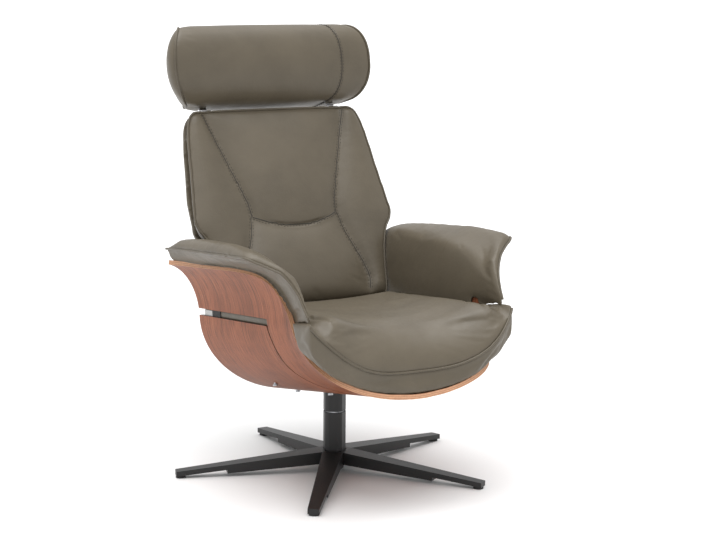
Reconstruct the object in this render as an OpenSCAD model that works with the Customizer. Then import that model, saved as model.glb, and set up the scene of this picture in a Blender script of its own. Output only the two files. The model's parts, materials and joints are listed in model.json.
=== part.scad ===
// Star base swivel recliner: a bent wood shell with upholstered arms, seat, back and headrest.
// X runs across the chair, the front faces -Y, Z is up and the floor is at Z = 0.
// The shell frame is tipped up at the front. A place in it is given as across, ahead and up.

/* [Star base] */
// Radius from the swivel axis to the middle of each foot
foot_radius = 374; // [340:1:420]
// Turn of the first leg away from the chair's left side, in degrees
base_turn = 19.4; // [0:0.1:36]
// Width of a leg beside the column
leg_hub_w = 50; // [42:1:60]
// Width of a leg at its tip
leg_tip_w = 27; // [24:1:36]
// Height of a leg's top face beside the column
leg_hub_top = 52; // [46:1:64]
// Height of a leg's top face at its tip
leg_tip_top = 17; // [15:1:24]
// Depth of a leg beside the column
leg_hub_depth = 30; // [26:1:38]
// Depth of a leg just inside its step
leg_mid_depth = 21; // [17:1:24]
// Depth of a leg outside its step
leg_tip_depth = 12; // [9:1:13]
// Length of a leg beyond the middle of its foot
leg_over = 12; // [10:1:24]
// Diameter of a foot glide
glide_d = 24; // [16:1:26]

/* [Column] */
// Width of the column across its corners
column_d = 55; // [52:1:60]
// Height of the swivel seam above the floor
seam_h = 147; // [125:1:160]
// Gap at the swivel seam
seam_gap = 3; // [2:0.1:5]
// Diameter of the spindle
spindle_d = 30; // [26:1:32]
// Bore of the column
column_bore = 38; // [36:1:41]

/* [Shell] */
// Tip of the shell, raised at the front, in degrees
shell_tilt = 8.5; // [6:0.5:11]
// Half width of the shell's bowl
bowl_half_w = 248; // [244:1:262]
// Height of the shell's round bottom
bowl_round_h = 200; // [190:1:205]
// Rise of the bowl's floor from its rear to its front
bowl_rise = 13; // [0:1:16]
// Height of the middle of the bowl's curve
bowl_mid_h = 389; // [385:1:400]
// Reach of the outward flare that carries the arms
flare_reach = 87.5; // [80:0.5:95]
// Height of the flare's curve
flare_h = 130; // [124:1:136]
// Arc of the flare, in degrees
flare_arc = 80; // [74:0.5:84]
// Widening of the bowl on each side at its front
bowl_widen = 44; // [20:1:50]
// Thickness of the bent plywood
ply = 11; // [9:0.5:12]
// Reach of the shell behind the swivel axis
shell_back = 185; // [180:1:200]
// Reach of the shell ahead of the swivel axis
shell_front = 441; // [432:1:455]
// Height of the slot in each side
slot_h = 16.5; // [14:0.5:20]
// Width of the cut between the two plies
cut_gap = 5; // [3:0.5:7]

/* [Seat] */
// Distance of the seat's sides in from the bowl's half width
seat_in = 41; // [40:1:52]
// Reach of the seat's lip beyond the bowl's half width
lip_out = 14; // [8:1:20]
// Thickness of the plywood seat deck
deck_t = 10; // [8:0.5:11]
// Depth of the top of the seat deck below the middle of the bowl's curve
deck_drop = 93; // [89:1:97]
// Thickness of the seat cushion on its deck
seat_thick = 113; // [104:1:118]
// Forward travel of the seat
seat_travel = 50; // [20:1:50]

/* [Back] */
// Lean of the backrest's front face away from the shell's upright, in degrees
back_lean = 18.1; // [15:0.1:22]
// Place of the recline pivot behind the swivel axis
pivot_back = 148; // [145:1:152]
// Height of the recline pivot above the middle of the bowl's curve
pivot_lift = 7; // [3:1:11]
// Distance of the front face ahead of the pivot
back_front = 95; // [92:1:105]
// Reach of the backrest beyond the bowl's half width
back_out = 24; // [14:1:28]
// Length of the backrest above the pivot
back_len = 494; // [485:1:496]
// Recline away from rest, in degrees
recline_travel = 20; // [10:1:20]

/* [Headrest] */
// Half width of the headrest at its end seams
head_half_w = 271; // [240:1:280]
// Bulge of each end beyond its seam
head_end_bulge = 30; // [15:1:34]
// Height of the headrest
head_h = 205; // [180:1:220]
// Depth of the headrest
head_d = 150; // [130:1:160]
// Distance of each headrest bar from the middle
bar_x = 178; // [172:1:184]
// Width of a headrest bar
bar_w = 20; // [16:1:22]

/* [Hidden] */

// Clearances and overruns
cut_over = 20;
fit_gap = 0.3;
run_gap = 0.05;
soft_gap = 0.4;
link_waist = 0.1;
hole_gap = 1;

// The box of the whole chair is centred on the origin, so the swivel axis lies ahead of it
axis_y = -31;

// Base
leg_count = 5;
facet_in = column_d / 2 * 0.92;
corner_r = facet_in / cos(36);
leg_root = leg_hub_w / 2 / tan(36);
leg_end = foot_radius + leg_over;
step_r = facet_in + (leg_end - facet_in) * 0.66;
step_top = leg_hub_top + (leg_tip_top - leg_hub_top) * 0.66;
glide_t = leg_tip_top - leg_tip_depth;
plug_d = 28;
plug_rim_h = 6;
plug_rim_t = 7;
column_foot = plug_rim_h + plug_rim_t;
bush_wall = column_bore / 2 - spindle_d / 2;
bush_h = 26;
ring_h = 28;
ring_t = 2.5;
ring_grow = 3;
washer_wall = 8;

// Shell section
ply_in = bowl_half_w - ply;
bowl_floor = bowl_mid_h - bowl_round_h;
flare_base = bowl_mid_h + 6;
flare_mid = bowl_half_w + flare_reach;
shell_top = flare_base + (flare_h + ply) * sin(flare_arc);
rim_half_w = flare_mid - (flare_reach + ply) * cos(flare_arc);
widen_at = 358;
widen_ease = 40;
section_steps = 14;

// Heights and half widths that follow the bowl
deck_top = bowl_mid_h - deck_drop;
seat_top = deck_top + seat_thick;
pivot_h = bowl_mid_h + pivot_lift;
seat_half_w = bowl_half_w - seat_in;
lip_half_w = bowl_half_w + lip_out;
back_half_w = bowl_half_w + back_out;

// Carrying parts in the shell frame
channel_lift = 16;
channel_half_w = 60;
channel_wall = 5;
channel_base = bowl_floor + ply + channel_lift;
channel_top = channel_base + 12;
channel_front = 130;
channel_rear = -110;
spacer_x = 45;
spacer_d = 14;
screw_d = 6;
screw_head_d = 12;
screw_head_t = 4;
screw_at = [95, -80];
side_screw_x = 137;
side_screw_at = -13;
member_half_w = 106;
member_h = 20;
member_d = 30;
member_front = 85;
member_rear = -105;
rail_x = 94;
rail_w = 24;
rail_wall = 2.5;
rail_h = 14;
rail_half_l = 150;
rail_base = channel_top + member_h;
liner_t = 1.5;
runner_rear = -140;
runner_l = 230;
bar_h = 18;
bar_inset = 1;
bar_base = deck_top - deck_t - bar_h;
bar_rear = -150;
bar_front = 380;
cross_d = 22;
deck_in = 15;
deck_half_w = seat_half_w - deck_in;
deck_rear = -98;

// Recline pivot and guide
pin_r = 6;
boss_r = 12;
bracket_t = 6;
disc_t = 1.6;
disc_r = 11.5;
upright_w = 22;
upright_d = 18;
bracket_x = rail_x + rail_w - bar_inset;
upright_x = bracket_x + bracket_t + disc_t + fit_gap;
guide_back = -35;
guide_down = -20;
guide_pin_r = 5;
guide_boss_r = 9;
guide_slack = 1.4;
guide_x = upright_x + upright_w + fit_gap;
guide_t = 5;

// Backrest
frame_lean = 0.11;
back_low = -15;
panel_t = 6;
panel_gap = upright_d / 2;
cushion_gap = panel_gap + panel_t + soft_gap;
side_lean = 0.24;
cover_t = 13;
cover_tuck = 4;
cover_crown = 6;
frame_short = 24;
frame_top = back_len - frame_short;

// Headrest
hinge_f = 62;
hinge_lift = 11;
hinge_u = back_len + hinge_lift;
bar_f = 52;
bar_t = 4;
bar_l = 130;
knuckle_r = 5;
leaf_t = 2;
head_lift = knuckle_r + fit_gap + leaf_t + run_gap;
hinge_pin_r = 2.5;
sleeve_l = 94;
sleeve_low = back_len - sleeve_l;
sleeve_wall = 3.5;
head_back = 5;
head_taper_share = 0.24;
head_top_share = 0.05;
head_low_share = 0.075;

// Colours
black = [0.05, 0.05, 0.05];
steel = [0.55, 0.56, 0.58];
walnut = [0.56, 0.34, 0.24];
hide = [0.42, 0.39, 0.34];

// Frames of reference
module on_axis() translate([0, axis_y, 0]) children();
module in_shell() on_axis() rotate([-shell_tilt, 0, 0]) children();
module in_back()
    in_shell() translate([0, pivot_back, pivot_h]) rotate([-back_lean, 0, 0]) children();
module in_head()
    in_back() translate([0, -hinge_f, hinge_u]) rotate([back_lean, 0, 0]) children();

// A box from its ranges: across, ahead and up
module block(across, ahead, up)
    translate([across[0], -ahead[1], up[0]])
        cube([across[1] - across[0], ahead[1] - ahead[0], up[1] - up[0]]);

// A plate that stands along the chair, from an outline of [ahead, up] points
module side_plate(across, outline)
    translate([across[0], 0, 0]) rotate([90, 0, 90])
        linear_extrude(across[1] - across[0]) polygon([for (p = outline) [-p[0], p[1]]]);

// A round bar across the chair
module cross_bar(across, ahead, up, r)
    translate([across[0], -ahead, up]) rotate([0, 90, 0])
        cylinder(h = across[1] - across[0], r = r, $fn = 48);

// A flat link with round ends, a little waisted between them, in side view and as a plate
module link_outline(from, to, r) {
    waist = r - link_waist;
    for (p = [from, to]) translate([-p[0], p[1]]) circle(r, $fn = 48);
    translate([-from[0], from[1]]) rotate(180 - atan2(to[1] - from[1], to[0] - from[0]))
        translate([0, -waist]) square([norm(to - from), 2 * waist]);
}
module flat_plate(across)
    translate([across[0], 0, 0]) rotate([90, 0, 90]) linear_extrude(across[1] - across[0]) children();
module link(across, from, to, r) flat_plate(across) link_outline(from, to, r);

module both_sides() {
    children();
    mirror([1, 0, 0]) children();
}

// Curves
function mix(a, b, t) = a + (b - a) * t;
function ease(t) = t * t * (3 - 2 * t);
function clamp01(t) = min(1, max(0, t));

// A skin over rings of points, closed at both ends about the middles of the end rings
function middle(ring) = [for (p = ring) 1] * ring / len(ring);
function skin_sides(rings, points) =
    [for (i = [0:rings - 2], j = [0:points - 1])
        let (a = i * points + j, b = i * points + (j + 1) % points)
        each [[a, b, b + points], [a, b + points, a + points]]];
function skin_faces(rings, points) = concat(
    skin_sides(rings, points),
    [for (j = [0:points - 1]) [rings * points, (j + 1) % points, j]],
    [for (j = [0:points - 1])
        let (a = (rings - 1) * points) [rings * points + 1, a + j, a + (j + 1) % points]]
);

module skin(rings)
    polyhedron(
        [for (r = rings) each r, middle(rings[0]), middle(rings[len(rings) - 1])],
        skin_faces(len(rings), len(rings[0])), convexity = 8
    );

// Depth of the bowl's outer face, and its growth in half width, at a distance ahead
function bowl_depth(ahead) =
    bowl_round_h - bowl_rise * (ahead + shell_back) / (shell_front + shell_back);
function widening(ahead) =
    let (past = ahead - widen_at, full = shell_front - widen_at)
    bowl_widen * (past + norm([past, widen_ease])) / (full + norm([full, widen_ease]));

// Half width of the shell's outer face, drawn in by a distance
function shell_half_w(up, ahead, inset) =
    widening(ahead) + (up < bowl_mid_h
        ? (bowl_half_w - inset)
            * sqrt(max(0, 1 - pow((bowl_mid_h - up) / (bowl_depth(ahead) - inset), 2)))
        : up < flare_base
            ? bowl_half_w - inset
            : flare_mid - (flare_reach + inset)
                * sqrt(max(0, 1 - pow((up - flare_base) / (flare_h + inset), 2))));

// Heights of the bowl's inner and outer faces at a place across and ahead
function floor_in(x, ahead) =
    bowl_mid_h - (bowl_depth(ahead) - ply)
        * sqrt(max(0, 1 - pow(x / (ply_in + widening(ahead)), 2)));
function floor_out(x, ahead) =
    bowl_mid_h - bowl_depth(ahead)
        * sqrt(max(0, 1 - pow(x / (bowl_half_w + widening(ahead)), 2)));

// The bent sheet: for each step across, a ring round the sheet from rear to front and back
function on_section(step, ahead, inset) =
    let (
        side = sign(step),
        t = abs(step) / section_steps,
        bend = min(1, t) * 90,
        flare = max(0, t - 1) * 2 * flare_arc
    )
    t <= 1
        ? [side * (bowl_half_w - inset + widening(ahead)) * sin(bend), -ahead,
            bowl_mid_h - (bowl_depth(ahead) - inset) * cos(bend)]
        : [side * (widening(ahead) + flare_mid - (flare_reach + inset) * cos(flare)), -ahead,
            flare_base + (flare_h + inset) * sin(flare)];
sheet_steps = section_steps * 1.5;
sheet_shares = [0, 0.55, 0.72, 0.8, 0.87, 0.94, 1];
sheet_stations = [for (t = sheet_shares) mix(-shell_back, shell_front, t)];
module shell_sheet(outset, inset) {
    rings = [for (i = [-sheet_steps:sheet_steps]) concat(
        [for (a = sheet_stations) on_section(i, a, outset)],
        [for (a = reversed(sheet_stations)) on_section(i, a, inset)]
    )];
    n = len(rings[0]);
    last = (len(rings) - 1) * n;
    polyhedron([for (r = rings) each r], concat(
        skin_sides(len(rings), n),
        [for (k = [0:n / 2 - 2]) each [[k + 1, k, n - 1 - k], [k + 1, n - 1 - k, n - 2 - k]]],
        [for (k = [0:n / 2 - 2])
            let (a = last + k, b = last + n - 1 - k) each [[a, a + 1, b], [a + 1, b - 1, b]]]
    ), convexity = 8);
}

function reversed(p) = [for (i = [len(p) - 1:-1:0]) p[i]];

// A smooth line through points
function curve(p, steps) = [
    for (i = [0:len(p) - 2], k = [0:steps - 1])
        let (
            t = k / steps, a = p[max(0, i - 1)], b = p[i], c = p[i + 1], d = p[min(len(p) - 1, i + 2)]
        )
        b + t * (c - a) / 2 + t * t * (a - 2.5 * b + 2 * c - d / 2)
            + t * t * t * (-a + 3 * b - 3 * c + d) / 2,
    p[len(p) - 1]
];

// A place in side view from its shares: of the reach ahead, and of the way up from the bowl's floor
function on_side(q) = [q[0] * shell_front, mix(bowl_floor, shell_top, q[1])];

// The rim in side view: level along the arm, then down in an S to the front of the bowl
rim_shares = [
    [-0.054, 0.967], [0.231, 0.95], [0.356, 0.937], [0.474, 0.916], [0.556, 0.887], [0.61, 0.842],
    [0.65, 0.783], [0.698, 0.684], [0.73, 0.615], [0.757, 0.556], [0.782, 0.488], [0.81, 0.418],
    [0.841, 0.356], [0.88, 0.299], [0.921, 0.249], [0.959, 0.206], [0.986, 0.156], [1, 0.071]
];
rim_front = curve([for (q = rim_shares) on_side(q)], 3);
rim_line = concat([[-shell_back, shell_top]], rim_front,
    [[shell_front, bowl_floor - cut_over], [-shell_back, bowl_floor - cut_over]]);
function rim_ahead(up) = lookup(-up, [for (p = rim_front) [-p[1], p[0]]]);
function rim_up(ahead) = lookup(ahead, concat([rim_line[0]], rim_front));

// The lower piece in side view: below the slot and behind the cut
slot_rear_h = bowl_mid_h + 5.5;
slot_fall = 0.0425;
slot_end = 196;
function slot_low(ahead) = slot_rear_h - (ahead + shell_back) * slot_fall;
cut_shares = [
    [0.465, 0.45], [0.468, 0.365], [0.467, 0.293], [0.483, 0.212], [0.535, 0.136], [0.646, 0.07],
    [0.76, -0.014]
];
cut_line = curve(concat([[slot_end, slot_low(slot_end)]],
    [for (q = cut_shares) on_side(q)]), 4);
function lower_line(rise, gap) = concat(
    [[-shell_back - cut_over, slot_low(-shell_back - cut_over) + rise]],
    [[slot_end + gap, slot_low(slot_end) + rise]],
    [for (q = cut_line) q + [gap, 0]],
    [[-shell_back - cut_over, on_side(cut_shares[6])[1]]]
);

module shell_holes() {
    on_hole_axis() cylinder(h = bowl_mid_h, r = column_d / 2 + hole_gap, $fn = 64);
    both_sides() for (s = screw_at)
        translate([spacer_x, -s, 0]) cylinder(h = bowl_mid_h, r = screw_d / 2 + run_gap, $fn = 32);
    both_sides() translate([side_screw_x, -side_screw_at, 0])
        cylinder(h = bowl_mid_h, r = screw_d / 2 + run_gap, $fn = 32);
}
module on_hole_axis() rotate([shell_tilt, 0, 0]) children();

// Star base

module leg(i)
    color(black) on_axis() rotate([0, 0, base_turn + 72 * (i - 1)]) intersection() {
        linear_extrude(leg_hub_top) polygon([
            [facet_in, -facet_in * tan(36)], [leg_root, -leg_hub_w / 2], [leg_end, -leg_tip_w / 2],
            [leg_end, leg_tip_w / 2], [leg_root, leg_hub_w / 2], [facet_in, facet_in * tan(36)]
        ]);
        translate([0, leg_hub_w, 0]) rotate([90, 0, 0]) linear_extrude(2 * leg_hub_w) polygon([
            [0, leg_hub_top], [leg_root, leg_hub_top], [leg_end, leg_tip_top],
            [leg_end, leg_tip_top - leg_tip_depth], [step_r, step_top - leg_tip_depth],
            [step_r, step_top - leg_mid_depth], [leg_root, leg_hub_top - leg_hub_depth],
            [0, leg_hub_top - leg_hub_depth]
        ]);
    }

module column_outline(low, high)
    intersection() {
        translate([0, 0, low]) cylinder(h = high - low, d = column_d, $fn = 80);
        rotate([0, 0, base_turn + 36])
            translate([0, 0, low]) cylinder(h = high - low, r = corner_r, $fn = 5);
    }

module column_lower()
    color(black) on_axis() difference() {
        column_outline(column_foot, seam_h);
        cylinder(h = seam_h + cut_over, d = column_bore, $fn = 64);
    }

module hub_plug()
    color(black) on_axis() {
        translate([0, 0, plug_rim_h]) cylinder(h = plug_rim_t, d = column_d * 0.84, $fn = 64);
        translate([0, 0, column_foot]) cylinder(h = plug_rim_t, d = column_bore - 2 * run_gap, $fn = 64);
    }

module foot_glides()
    color([0.1, 0.1, 0.1]) on_axis() for (i = [0:leg_count - 1])
        rotate([0, 0, base_turn + 72 * i]) translate([foot_radius, 0, 0])
            cylinder(h = glide_t - fit_gap, d = glide_d, $fn = 40);

module bush(low)
    color([0.85, 0.84, 0.8]) on_axis() difference() {
        translate([0, 0, low]) cylinder(h = bush_h, r = column_bore / 2 - run_gap, $fn = 64);
        cylinder(h = seam_h + cut_over, r = column_bore / 2 - bush_wall + run_gap, $fn = 64);
    }
module bush_lower() bush(ring_h + ring_t + fit_gap);
module bush_upper() bush(seam_h - bush_h);

module thrust_washer()
    color(steel) on_axis() difference() {
        translate([0, 0, seam_h])
            cylinder(h = seam_gap - fit_gap, r = spindle_d / 2 + washer_wall, $fn = 64);
        cylinder(h = seam_h + cut_over, r = spindle_d / 2 + fit_gap, $fn = 64);
    }

// Swivelling column and mounting

module below_channel()
    in_shell() block([-member_half_w, member_half_w], [-shell_back, shell_back], [0, channel_base]);

module spindle()
    color(steel) intersection() {
        on_axis() difference() {
            translate([0, 0, column_foot + plug_rim_t + fit_gap])
                cylinder(h = bowl_mid_h, d = spindle_d, $fn = 64);
            translate([0, 0, ring_h]) difference() {
                cylinder(h = ring_t, d = spindle_d + cut_over, $fn = 64);
                cylinder(h = ring_t, d = spindle_d - ring_grow, $fn = 64);
            }
        }
        below_channel();
    }

module retaining_ring()
    color(steel) on_axis() translate([0, 0, ring_h + run_gap]) difference() {
        cylinder(h = ring_t - 2 * run_gap, d = spindle_d + ring_grow, $fn = 64);
        translate([0, 0, -ring_t])
            cylinder(h = 3 * ring_t, d = spindle_d - ring_grow + 2 * run_gap, $fn = 64);
    }

module column_upper()
    color(black) intersection() {
        on_axis() difference() {
            column_outline(seam_h + seam_gap, bowl_mid_h);
            cylinder(h = bowl_mid_h + cut_over, r = spindle_d / 2 + run_gap, $fn = 64);
        }
        below_channel();
    }

module mounting_channel()
    color(steel) in_shell() difference() {
        block([-channel_half_w, channel_half_w], [channel_rear, channel_front],
            [channel_base, channel_top]);
        block([channel_wall - channel_half_w, channel_half_w - channel_wall],
            [channel_rear - cut_over, channel_front + cut_over],
            [channel_base + channel_wall, channel_top + cut_over]);
        both_sides() for (s = screw_at)
            translate([spacer_x, -s, channel_base - channel_wall])
                cylinder(h = 3 * channel_wall, r = screw_d / 2 + run_gap, $fn = 32);
    }

module cross_member(ahead)
    color(steel) in_shell()
        block([-member_half_w, member_half_w], [ahead, ahead + member_d], [channel_top, rail_base]);
module cross_member_front() cross_member(member_front);
module cross_member_rear() cross_member(member_rear);

module rail()
    color(steel) in_shell() difference() {
        block([rail_x, rail_x + rail_w], [-rail_half_l, rail_half_l], [rail_base, rail_base + rail_h]);
        block([rail_x + rail_wall, rail_x + rail_w - rail_wall],
            [-rail_half_l - cut_over, rail_half_l + cut_over],
            [rail_base + rail_wall, rail_base + rail_h + cut_over]);
    }
module rail_left() rail();
module rail_right() mirror([1, 0, 0]) rail();

liner_x = rail_x + rail_wall;
liner_w = rail_w - 2 * rail_wall;
liner_base = rail_base + rail_wall;
liner_rear = -rail_half_l + member_d / 2;
liner_front = rail_half_l - member_d / 2;
module rail_liners()
    color([0.9, 0.9, 0.88]) in_shell() both_sides() difference() {
        block([liner_x, liner_x + liner_w], [liner_rear, liner_front],
            [liner_base, rail_base + rail_h]);
        block([liner_x + liner_t, liner_x + liner_w - liner_t],
            [liner_rear - cut_over, liner_front + cut_over],
            [liner_base + liner_t, rail_base + rail_h + cut_over]);
    }

runner_front = runner_rear + runner_l;
module rail_buffers()
    color(black) in_shell() both_sides()
        block([liner_x, liner_x + liner_w],
            [runner_front + seat_travel + fit_gap, rail_half_l], [liner_base, rail_base + rail_h]);

// Path of the guide pin, from rest to full recline
function pin_at(t) =
    let (a = back_lean + recline_travel * t)
    [-pivot_back + seat_travel * t + guide_back * cos(a) - guide_down * sin(a),
        pivot_h + guide_back * sin(a) + guide_down * cos(a)];

web_front = pin_at(1)[0];
web_rear = web_front - 2 * guide_boss_r;
rail_top = rail_base + rail_h;
module guide_plate()
    color(steel) in_shell() {
        flat_plate([guide_x, guide_x + guide_t]) difference() {
            union() {
                link_outline(pin_at(0), pin_at(1), guide_pin_r + guide_slack + guide_boss_r / 2);
                translate([-web_front, rail_top - 2 * guide_t])
                    square([web_front - web_rear, pin_at(1)[1] - rail_top + 2 * guide_t]);
            }
            link_outline(pin_at(0), pin_at(1), guide_pin_r + guide_slack);
        }
        block([rail_x + rail_w, guide_x + guide_t / 2], [web_rear + guide_slack, web_front - guide_slack],
            [rail_top - guide_t, rail_top]);
    }
module guide_plate_left() guide_plate();
module guide_plate_right() mirror([1, 0, 0]) guide_plate();

side_plate_h = rail_base + rail_wall;
module shell_brackets()
    color(steel) in_shell() both_sides() difference() {
        block([rail_x + rail_w, side_screw_x + spacer_d],
            [side_screw_at - spacer_d, side_screw_at + spacer_d],
            [side_plate_h, side_plate_h + channel_wall]);
        translate([side_screw_x, -side_screw_at, 0])
            cylinder(h = bowl_mid_h, r = screw_d / 2 + run_gap, $fn = 32);
    }

module spacer(x, ahead, top) {
    foot = floor_in(x + spacer_d / 2, ahead + spacer_d / 2) + run_gap;
    translate([x, -ahead, foot]) difference() {
        cylinder(h = top - foot, d = spacer_d, $fn = 40);
        translate([0, 0, -spacer_d]) cylinder(h = bowl_mid_h, r = screw_d / 2 + run_gap, $fn = 32);
    }
}
module shell_spacers()
    color(black) in_shell() both_sides() {
        for (s = screw_at) spacer(spacer_x, s, channel_base);
        spacer(side_screw_x, side_screw_at, side_plate_h);
    }

module screw(x, ahead, top) {
    head = floor_out(x - screw_head_d / 2, ahead - screw_head_d / 2) - screw_head_t - run_gap;
    translate([x, -ahead, head]) {
        cylinder(h = screw_head_t, d = screw_head_d, $fn = 40);
        cylinder(h = top - head, d = screw_d, $fn = 32);
    }
}
module shell_screws()
    color(steel) in_shell() both_sides() {
        for (s = screw_at) screw(spacer_x, s, channel_base + channel_wall);
        screw(side_screw_x, side_screw_at, side_plate_h + channel_wall);
    }

// Bent wood shell

module shell_lower()
    color(walnut) in_shell() difference() {
        intersection() {
            shell_sheet(0, ply);
            side_plate([-flare_mid, flare_mid], lower_line(0, 0));
        }
        shell_holes();
    }

module shell_upper()
    color(walnut) in_shell() difference() {
        intersection() {
            shell_sheet(0, ply);
            side_plate([-rim_half_w, rim_half_w], rim_line);
        }
        side_plate([-flare_mid, flare_mid], lower_line(slot_h, cut_gap));
    }

// Fillings of the slot: a strip, a block and a bare plate on each side
block_rear = -114;
block_front = -67;
plate_rear = -163;
slot_skin_t = 6;
function slot_piece(rear, front, low_gap, high_gap) = [
    [rear, slot_low(rear) + low_gap], [front, slot_low(front) + low_gap],
    [front, slot_low(front) + slot_h - high_gap], [rear, slot_low(rear) + slot_h - high_gap]
];
slot_skin = [ply_in + liner_t, ply_in + slot_skin_t];
module slot_strip_left()
    color(hide) in_shell()
        side_plate(slot_skin, slot_piece(block_front + fit_gap, slot_end, 0, fit_gap));
module slot_strip_right() mirror([1, 0, 0]) slot_strip_left();
module slot_blocks()
    color(black) in_shell() both_sides()
        side_plate([slot_skin[0], slot_skin[1] + liner_t],
            slot_piece(block_rear, block_front, 0, fit_gap));
module slot_plates()
    color([0.75, 0.75, 0.74]) in_shell() both_sides()
        side_plate(slot_skin, slot_piece(plate_rear, block_rear - fit_gap, 0, 2 * liner_t));

// Upholstered arms

// The piping on an arm runs level along its outer edge and falls from a knee to its foot
arm_drop = 49;
arm_low = bowl_mid_h - arm_drop;
arm_rear = -shell_back;
foot_lift = 8;
foot_up = bowl_mid_h + foot_lift;
foot_rear = rim_ahead(foot_up);
foot_front = shell_front * 0.945;
foot_thick = 3;
pipe_rear_out = 79;
pipe_rear_rise = 174;
pipe_front_out = 102;
pipe_front_rise = 150;
pipe_rear = [bowl_half_w + pipe_rear_out, bowl_mid_h + pipe_rear_rise];
pipe_front = [bowl_half_w + pipe_front_out, bowl_mid_h + pipe_front_rise];
pipe_knee = shell_front * 0.72;
pipe_drop = pipe_front[1] - foot_up - foot_thick;
pipe_in = pipe_front_out * 0.96;

// Shares of the way from the knee to the foot: ahead, across and down
pipe_fall_shares = [
    [0, 0, 0], [0.1, 0.12, 0.05], [0.23, 0.36, 0.14], [0.48, 0.67, 0.28], [0.6, 0.83, 0.45],
    [0.75, 0.94, 0.66], [0.93, 0.99, 0.95], [1, 1, 1]
];
function fall_at(share, column) =
    lookup(share, [for (f = pipe_fall_shares) [f[0], f[column]]]);

// Piping at a distance ahead: across and up
function pipe_at(ahead) =
    ahead < pipe_knee
        ? mix(pipe_rear, pipe_front, (ahead - arm_rear) / (pipe_knee - arm_rear))
        : let (t = (ahead - pipe_knee) / (foot_front - pipe_knee))
            pipe_front - [pipe_in * fall_at(t, 1), pipe_drop * fall_at(t, 2)];

// Rise of the crest above the piping, and drop from the crest to the inner shoulder,
// as shares of the flare's height
crest_shares = [
    [-0.42, 0.03], [-0.37, 0.15], [-0.3, 0.21], [-0.2, 0.235], [0, 0.25], [0.3, 0.245], [0.46, 0.235],
    [0.6, 0.19], [0.72, 0.13], [0.79, 0.16], [0.84, 0.17], [0.88, 0.14], [0.93, 0.12], [1, 0.03]
];
drop_shares = [
    [-0.42, 0.06], [0, 0.09], [0.34, 0.2], [0.57, 0.285], [0.75, 0.39], [0.79, 0.44], [0.82, 0.2],
    [0.85, 0.05], [1, 0.02]
];
function crest_rise(ahead) = flare_h * lookup(ahead / shell_front, crest_shares);
function crest_drop(ahead) = flare_h * lookup(ahead / shell_front, drop_shares);

// Inner face of an arm: half width between the arms, which opens at the front and the rear
arm_in_shares = [
    [0, 0.797], [0.45, 0.806], [0.65, 0.829], [0.78, 0.857], [0.92, 0.903], [0.98, 0.932], [1.03, 0.985]
];
arm_tall = shell_top - arm_low + flare_h * 0.35;
arm_open = 22;
arm_aft = 14;
arm_edge = 6;
arm_corner = 16;
function arm_in(up, ahead) =
    let (
        fore = ease(clamp01((ahead / shell_front - 0.35) / 0.5)),
        aft = clamp01(-2 * ahead / shell_back - 1)
    )
    back_half_w * lookup((up - arm_low) / arm_tall, arm_in_shares) + arm_open * fore
        + arm_aft * aft * aft;

// Under side of an arm: from the rim in along the shell's inner face, and a level foot past the rim
pad_gap = 0.7;
rim_rest = 1;
in_points = 6;
wall_points = 12;
function wall_point(angle, ahead) = [
    widening(ahead) + flare_mid - (flare_reach + ply + pad_gap) * cos(angle),
    flare_base + (flare_h + ply + pad_gap) * sin(angle)
];
function wall_low(ahead) = shell_half_w(arm_low, ahead, ply + pad_gap);
function wall_side(ahead) =
    let (
        rise = (rim_up(ahead) + rim_rest - flare_base) / (flare_h + ply + pad_gap),
        rim_angle = min(flare_arc, asin(clamp01(rise))),
        rim = wall_point(rim_angle, ahead)
    )
    concat(
        [[max(rim[0] + ply / 4, min(shell_half_w(rim[1], ahead, 0), rim_half_w)), rim[1]]],
        [for (i = [0:wall_points]) wall_point(rim_angle * (1 - i / wall_points), ahead)],
        [[wall_low(ahead), arm_low]]
    );
function foot_side(ahead, low, inner) =
    let (
        t = (ahead - foot_rear) / (foot_front - foot_rear),
        outer = bowl_half_w + widening(foot_rear) * (1 - t)
    )
    [for (i = [0:wall_points + 2]) [mix(outer, inner, 0.8 * i / (wall_points + 2)), low]];

// Greatest half width of the inner face: short of the under side, and of the piping above it
function arm_least(up, ahead) =
    up < flare_base
        ? mix(wall_low(ahead), wall_point(0, ahead)[0], (up - arm_low) / (flare_base - arm_low))
            - foot_thick
        : pipe_at(ahead)[0] - arm_edge;
function arm_ring(ahead) =
    let (
        pipe = pipe_at(ahead),
        foot = ahead > foot_rear,
        low = foot ? foot_up + fit_gap : arm_low,
        crest = pipe[1] + crest_rise(ahead),
        inner = function (up) min(arm_in(up, ahead), arm_least(up, ahead)),
        shoulder_up = crest - crest_drop(ahead),
        corner = min(arm_corner, (shoulder_up - low) / 2),
        top_in = inner(shoulder_up - corner),
        shoulder = [mix(top_in, pipe[0], 0.16), shoulder_up],
        ridge = [mix(top_in, pipe[0], 0.78), crest]
    )
    concat(
        [for (i = [0:in_points]) let (up = mix(low, shoulder_up - corner, i / in_points)) [inner(up), up]],
        [[mix(top_in, shoulder[0], 0.35), shoulder_up - corner * 0.3], shoulder],
        [mix(shoulder, ridge, 0.5), ridge, [mix(ridge[0], pipe[0], 0.7), mix(crest, pipe[1], 0.3)], pipe],
        foot ? foot_side(ahead, low, inner(low)) : wall_side(ahead)
    );

arm_bend = shell_front * 0.45;
arm_stations = concat(
    [for (i = [0:6]) mix(arm_rear, arm_bend, i / 7)],
    [for (i = [0:10]) mix(arm_bend, foot_rear - rim_rest, i / 10)],
    [for (i = [0:8]) mix(foot_rear + rim_rest, foot_front, i / 8)]
);
module arm_pad()
    color(hide) in_shell() skin([for (s = arm_stations) [for (p = arm_ring(s)) [p[0], -s, p[1]]]]);
module arm_pad_left() arm_pad();
module arm_pad_right() mirror([1, 0, 0]) arm_pad();

// Seat

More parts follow.
